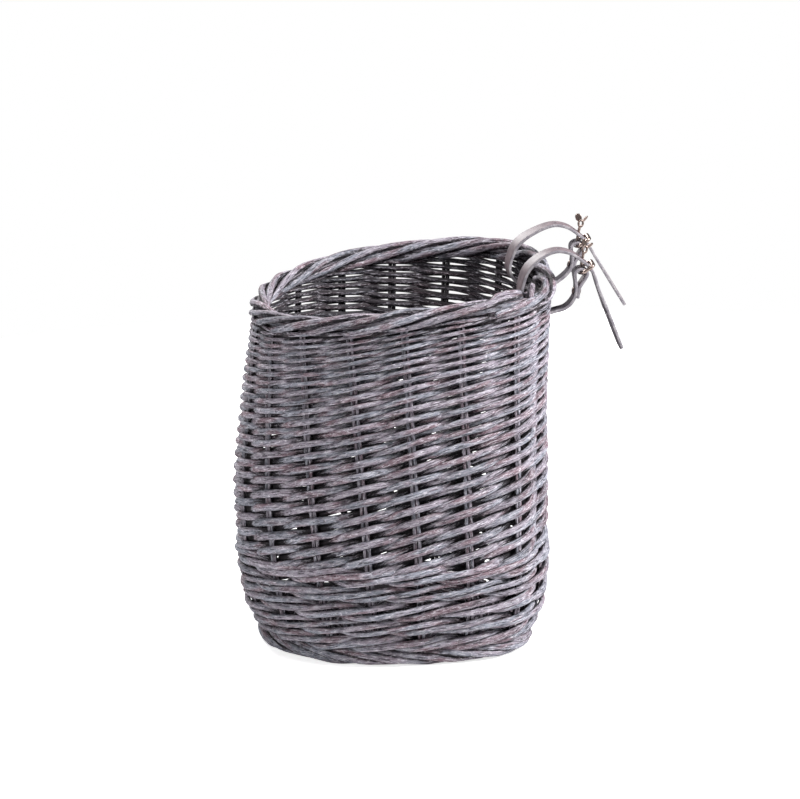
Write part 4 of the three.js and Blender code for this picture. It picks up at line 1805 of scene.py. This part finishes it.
    def build_strap(self) -> None:
        """Build the band from its folded end to the buckle."""
        loop, outward = self.loop_points(), self.outward()
        layer = self.thickness + self.clear
        shares = (self.lap, self.rivet_share, 0.0)
        lap = [loop[0] + share * (loop[1] - loop[0]) + outward * layer for share in shares]
        drop = self.fold_radius - self.thickness / 2 - self.clear - self.wire / 2
        middle = self.heel_point() - np.array([0, 0, drop])
        wrap = [
            middle + self.fold_radius * np.array([0, math.cos(math.radians(a)), math.sin(math.radians(a))])
            for a in (0, 45, 90, 135, 180)
        ]
        points = np.array([*lap, *wrap, *loop])
        count = 12 * (len(points) - 1)
        path = catmull(points, count)
        index = np.linspace(0, len(points) - 1, count + 1)
        inside = len(lap) + len(wrap) + self.turn_point
        twist = math.radians(self.turn) * np.exp(-(((index - inside) / self.turn_reach) ** 2))
        crest = path[np.argmax(path[:, 2])]
        up, back = np.array([0.0, 0.0, 1.0]), np.array([0.0, 1.0, 0.0])
        slot = self.heel_point() + np.array([0.0, *self.slot_place])
        openings = [
            Opening(crest, up, back, self.hole, self.hole, 2 * self.thickness),
            Opening(slot, back, up, self.slot_length, self.slot_width, self.slot_depth),
        ]
        band = LeatherBand(
            self.body("strap_band"), path, twist, np.ones(count + 1), self.width, self.thickness, openings
        )
        made = band.build(self.leathers)
        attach(made, self.body("strap_loop"))
        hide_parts(self.body("strap"))
        log.info("%s: loop of %.0f mm", made.name, distance_along(path)[-1])

    def build_tail(self) -> None:
        """Build the free end, which bends where it leaves the buckle."""
        loop = self.loop_points()
        leave, before = loop[-1], loop[-2]
        way = (leave - before) / np.linalg.norm(leave - before)
        fall = np.array([0, math.cos(math.radians(self.tail_fall)), -math.sin(math.radians(self.tail_fall))])
        bend, start = self.tail_bend, leave + self.tail_lead * way
        points = [leave]
        for run in (0.0, bend / 4, bend, (bend + self.tail_length) / 2, self.tail_length):
            mixed = way + (fall - way) * min(1, run / bend)
            points.append(start + run * mixed / np.linalg.norm(mixed))
        path = catmull(np.array(points), 70)
        left = self.tail_length + self.tail_lead - distance_along(path)
        tip = self.width / 2
        twist = self.tail_turn * np.clip((distance_along(path) - bend) / bend, 0, 1)
        widths = np.sqrt(np.clip(1 - (1 - np.clip(left / tip, 0.02, 1)) ** 2, 0.04, 1))
        across = np.array([0.0, -fall[2], fall[1]])
        spots = [start + fall * (self.hole_start + i * self.hole_pitch) for i in range(self.holes)]
        openings = [Opening(spot, across, fall, self.hole, self.hole, self.hole_depth) for spot in spots]
        band = LeatherBand(self.body("tail_band"), path, twist, widths, self.width, self.thickness, openings)
        made = band.build(self.leathers)
        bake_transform(made)
        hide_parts(self.body("strap_tail"))
        log.info("%s: tail of %.0f mm", made.name, self.tail_length)


# Studio


@dataclass
class Studio:
    """Plain white studio: a pale floor, soft lamps and the camera.

    Attributes:
        elevation: Height of the camera over the horizon, in radians.
        azimuth: How far it stands off the +X side, in radians.
        roll: How far it is tipped, in radians.
        distance: Its distance from the target, in mm.
        focal: Its focal length in pixels of the photograph.
        picture: Width and height of the photograph in pixels.
        target: Point of the basket that it was fitted to, in mm.
        target_pixel: Where that point lies in the photograph.
        sensor: Width of the sensor, in mm.
        lamp_aim: Height that the lamps are aimed at, in metres.
        floor_radius: Reach of the floor, in metres.
        floor_drop: How far it lies under the basket, in metres.
        floor_glow: Light that it adds for the camera alone, so that it looks white.
        sky_diffuse: Strength of the surround as it lights matt faces.
        sky_glossy: Share of its full strength that shows in the metal.
    """

    elevation: float = 0.261
    azimuth: float = 0.077
    roll: float = 0.025
    distance: float = 3894.0
    focal: float = 4283.4
    picture: tuple[float, float] = (800.0, 799.0)
    target: tuple[float, float, float] = (0.0, 0.0, 165.0)
    target_pixel: tuple[float, float] = (402.1, 454.9)
    sensor: float = 36.0
    lamp_aim: float = 0.17
    floor_radius: float = 1.3
    floor_drop: float = 0.0004
    floor_glow: float = 0.75
    sky_diffuse: float = 0.02
    sky_glossy: float = 0.22

    def camera(self, form: BasketForm) -> None:
        """Place the camera at the photograph's viewing angle.

        Args:
            form: The basket's form, whose middle the camera is fitted to.
        """
        el, az, roll = self.elevation, self.azimuth, self.roll
        back = Vector((math.cos(el) * math.cos(az), -math.cos(el) * math.sin(az), math.sin(el)))
        right = Vector((math.sin(az), math.cos(az), 0))
        up = back.cross(right)
        right, up = right * math.cos(roll) - up * math.sin(roll), up * math.cos(roll) + right * math.sin(roll)
        aside = (self.target_pixel[0] - self.picture[0] / 2) / self.focal
        below = (self.target_pixel[1] - self.picture[1] / 2) / self.focal
        axis = (back + right * aside - up * below).normalized()
        right = up.cross(axis).normalized()
        turn = Matrix((right, axis.cross(right), axis)).transposed()
        data = bpy.data.cameras.new("camera")
        data.sensor_width = self.sensor
        data.lens = self.focal / self.picture[0] * self.sensor
        data.clip_end = 100
        made = add_object("camera", data)
        aim = (Vector(self.target) + Vector((0, form.shift, 0))) * MM
        made.matrix_world = Matrix.Translation(aim + back * self.distance * MM) @ turn.to_4x4()
        bpy.context.scene.camera = made

    def lamp(self, name: str, place: tuple[float, float, float], size: float, watts: float) -> None:
        """Add a square soft lamp aimed at the basket's middle.

        Args:
            name: Name of the lamp.
            place: Where it stands, in metres.
            size: Length of its sides, in metres.
            watts: Its power.
        """
        data = bpy.data.lights.new(name, "AREA")
        data.size, data.energy = size, watts
        made = add_object(name, data)
        made.location = place
        made.rotation_mode = "QUATERNION"
        aim = Vector((0, 0, self.lamp_aim))
        made.rotation_quaternion = (aim - Vector(place)).to_track_quat("-Z", "Y")

    def floor(self) -> None:
        """Add the pale floor, which is white to the eye and keeps the shadow."""
        made, tree, shader = start_material("floor_white_paper")
        shader.inputs["Base Color"].default_value = linear("#f4f4f4")
        shader.inputs["Roughness"].default_value = 0.9
        shader.inputs["Specular IOR Level"].default_value = 0.0
        seen = add_node(tree, "ShaderNodeLightPath").outputs["Is Camera Ray"]
        glow = add_node(tree, "ShaderNodeMath", {"operation": "MULTIPLY"}, {0: seen, 1: self.floor_glow})
        shader.inputs["Emission Color"].default_value = (1, 1, 1, 1)
        tree.links.new(glow.outputs[0], shader.inputs["Emission Strength"])
        mesh = bpy.data.meshes.new("floor")
        reach, steps = self.floor_radius, 64
        turns = [2 * math.pi * i / steps for i in range(steps)]
        edge = [(reach * math.cos(t), reach * math.sin(t), 0) for t in turns]
        mesh.from_pydata(edge, [], [tuple(range(steps))])
        mesh.materials.append(made)
        floor = add_object("floor", mesh)
        floor.location.z = -self.floor_drop

    def world(self) -> None:
        """Surround the scene with soft light that looks white."""
        made = bpy.data.worlds.new("studio")
        made.use_nodes = True
        tree = made.node_tree
        sky = tree.nodes["Background"]
        sky.inputs["Color"].default_value = (1, 1, 1, 1)
        seen = add_node(tree, "ShaderNodeLightPath").outputs
        mirrored = {0: seen["Is Glossy Ray"], 1: self.sky_glossy}
        dimmed = add_node(tree, "ShaderNodeMath", {"operation": "MULTIPLY"}, mirrored)
        either = {0: seen["Is Camera Ray"], 1: dimmed.outputs[0]}
        sharp = add_node(tree, "ShaderNodeMath", {"operation": "MAXIMUM"}, either)
        strength = {"Value": sharp.outputs[0], "To Min": self.sky_diffuse, "To Max": 1.0}
        level = add_node(tree, "ShaderNodeMapRange", {}, strength)
        tree.links.new(level.outputs[0], sky.inputs["Strength"])
        bpy.context.scene.world = made

    def build(self, form: BasketForm) -> None:
        """Set up the floor, the lamps, the surround and the camera.

        Args:
            form: The basket's form.
        """
        bpy.context.scene.view_settings.view_transform = "Standard"
        self.floor()
        self.world()
        self.lamp("key", place=(0.8, 2.1, 1.7), size=0.5, watts=112)
        self.lamp("overhead", place=(0.6, -0.2, 2.3), size=0.5, watts=21)
        self.lamp("fill", place=(1.6, -2.2, 1.2), size=0.6, watts=19)
        self.lamp("rear", place=(-2.3, -0.9, 1.5), size=0.8, watts=55)
        self.camera(form)


def main() -> None:
    """Build the basket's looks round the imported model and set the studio."""
    logging.basicConfig(level=logging.INFO, format="%(name)s: %(message)s")
    form = BasketForm()
    Studio().build(form)
    willow = Willow(form, WashedWillow().material(), CutWillow().material())
    grain = StrapLeather(
        "strap_leather_rolled_grain", "#8d7d82", "#74676d", roughness=0.5, pore_mm=0.8, relief_mm=0.12
    )
    edge = StrapLeather(
        "strap_leather_cut_edge", "#aca7ab", "#87828a", roughness=0.85, pore_mm=0.5, relief_mm=0.25
    )
    flesh = StrapLeather(
        "strap_leather_flesh_side", "#686268", "#4f4b52", roughness=0.95, pore_mm=0.5, relief_mm=0.25
    )
    leathers = [leather.material() for leather in (grain, edge, flesh)]
    metal = NickelPlate().material()
    left = HandlebarStrap(
        Side.LEFT,
        leathers,
        metal,
        reach=0.0,
        lift=0.0,
        tail_length=79.0,
        tail_fall=70.0,
        tip_turn=0.3,
        tip_leaves=((-0.2, 2.3), (0.75, 1.4)),
        tail_turn=-0.11,
    )
    right = HandlebarStrap(
        Side.RIGHT,
        leathers,
        metal,
        reach=9.0,
        lift=2.5,
        tail_length=69.0,
        tail_fall=60.0,
        tip_turn=0.3,
        tip_leaves=((-0.5, 3.0), (0.6, 1.2)),
        tail_turn=0.03,
    )
    straps = [left, right]
    Stakes(willow).build()
    UpsettWale(willow).build()
    Siding(willow, slots=[strap.slot() for strap in straps]).build()
    upright = ((111.5, 107.0, 330.7), (111.0, 108.0, 337.0), (110.2, 109.3, 345.0))
    outer = ((143.0, 73.0, 324.5), (130.5, 94.0, 329.0), (114.0, 108.0, 330.4), (104.0, 115.6, 330.6))
    arched = (
        (133.0, 66.0, 329.0),
        (130.6, 71.8, 334.9),
        (127.1, 76.6, 338.6),
        (120.4, 87.0, 339.3),
        (111.0, 96.7, 336.9),
        (104.3, 104.5, 331.5),
    )
    RolledBorder(
        willow,
        name="border_rods",
        node="top_border",
        height=323.0,
        rod=6.4,
        lay=6.6,
        span=4.4,
        front_span=3.6,
        back_span=2.9,
        start=265.0,
        sweep=-346.0,
        seed=1100,
        core=8.0,
        short=0.14,
        finish=(FinishRod(6.6, upright), FinishRod(5.4, outer), FinishRod(5.2, arched)),
    ).build()
    RolledBorder(
        willow,
        name="foot_rods",
        node="foot_border",
        height=8.4,
        rod=6.6,
        lay=4.2,
        span=3.2,
        front_span=3.0,
        back_span=3.2,
        start=-160.0,
        sweep=250.0,
        seed=1300,
        core=6.0,
    ).build()
    WovenBase(willow).build()
    for strap in straps:
        strap.build()


if __name__ == "__main__":
    main()
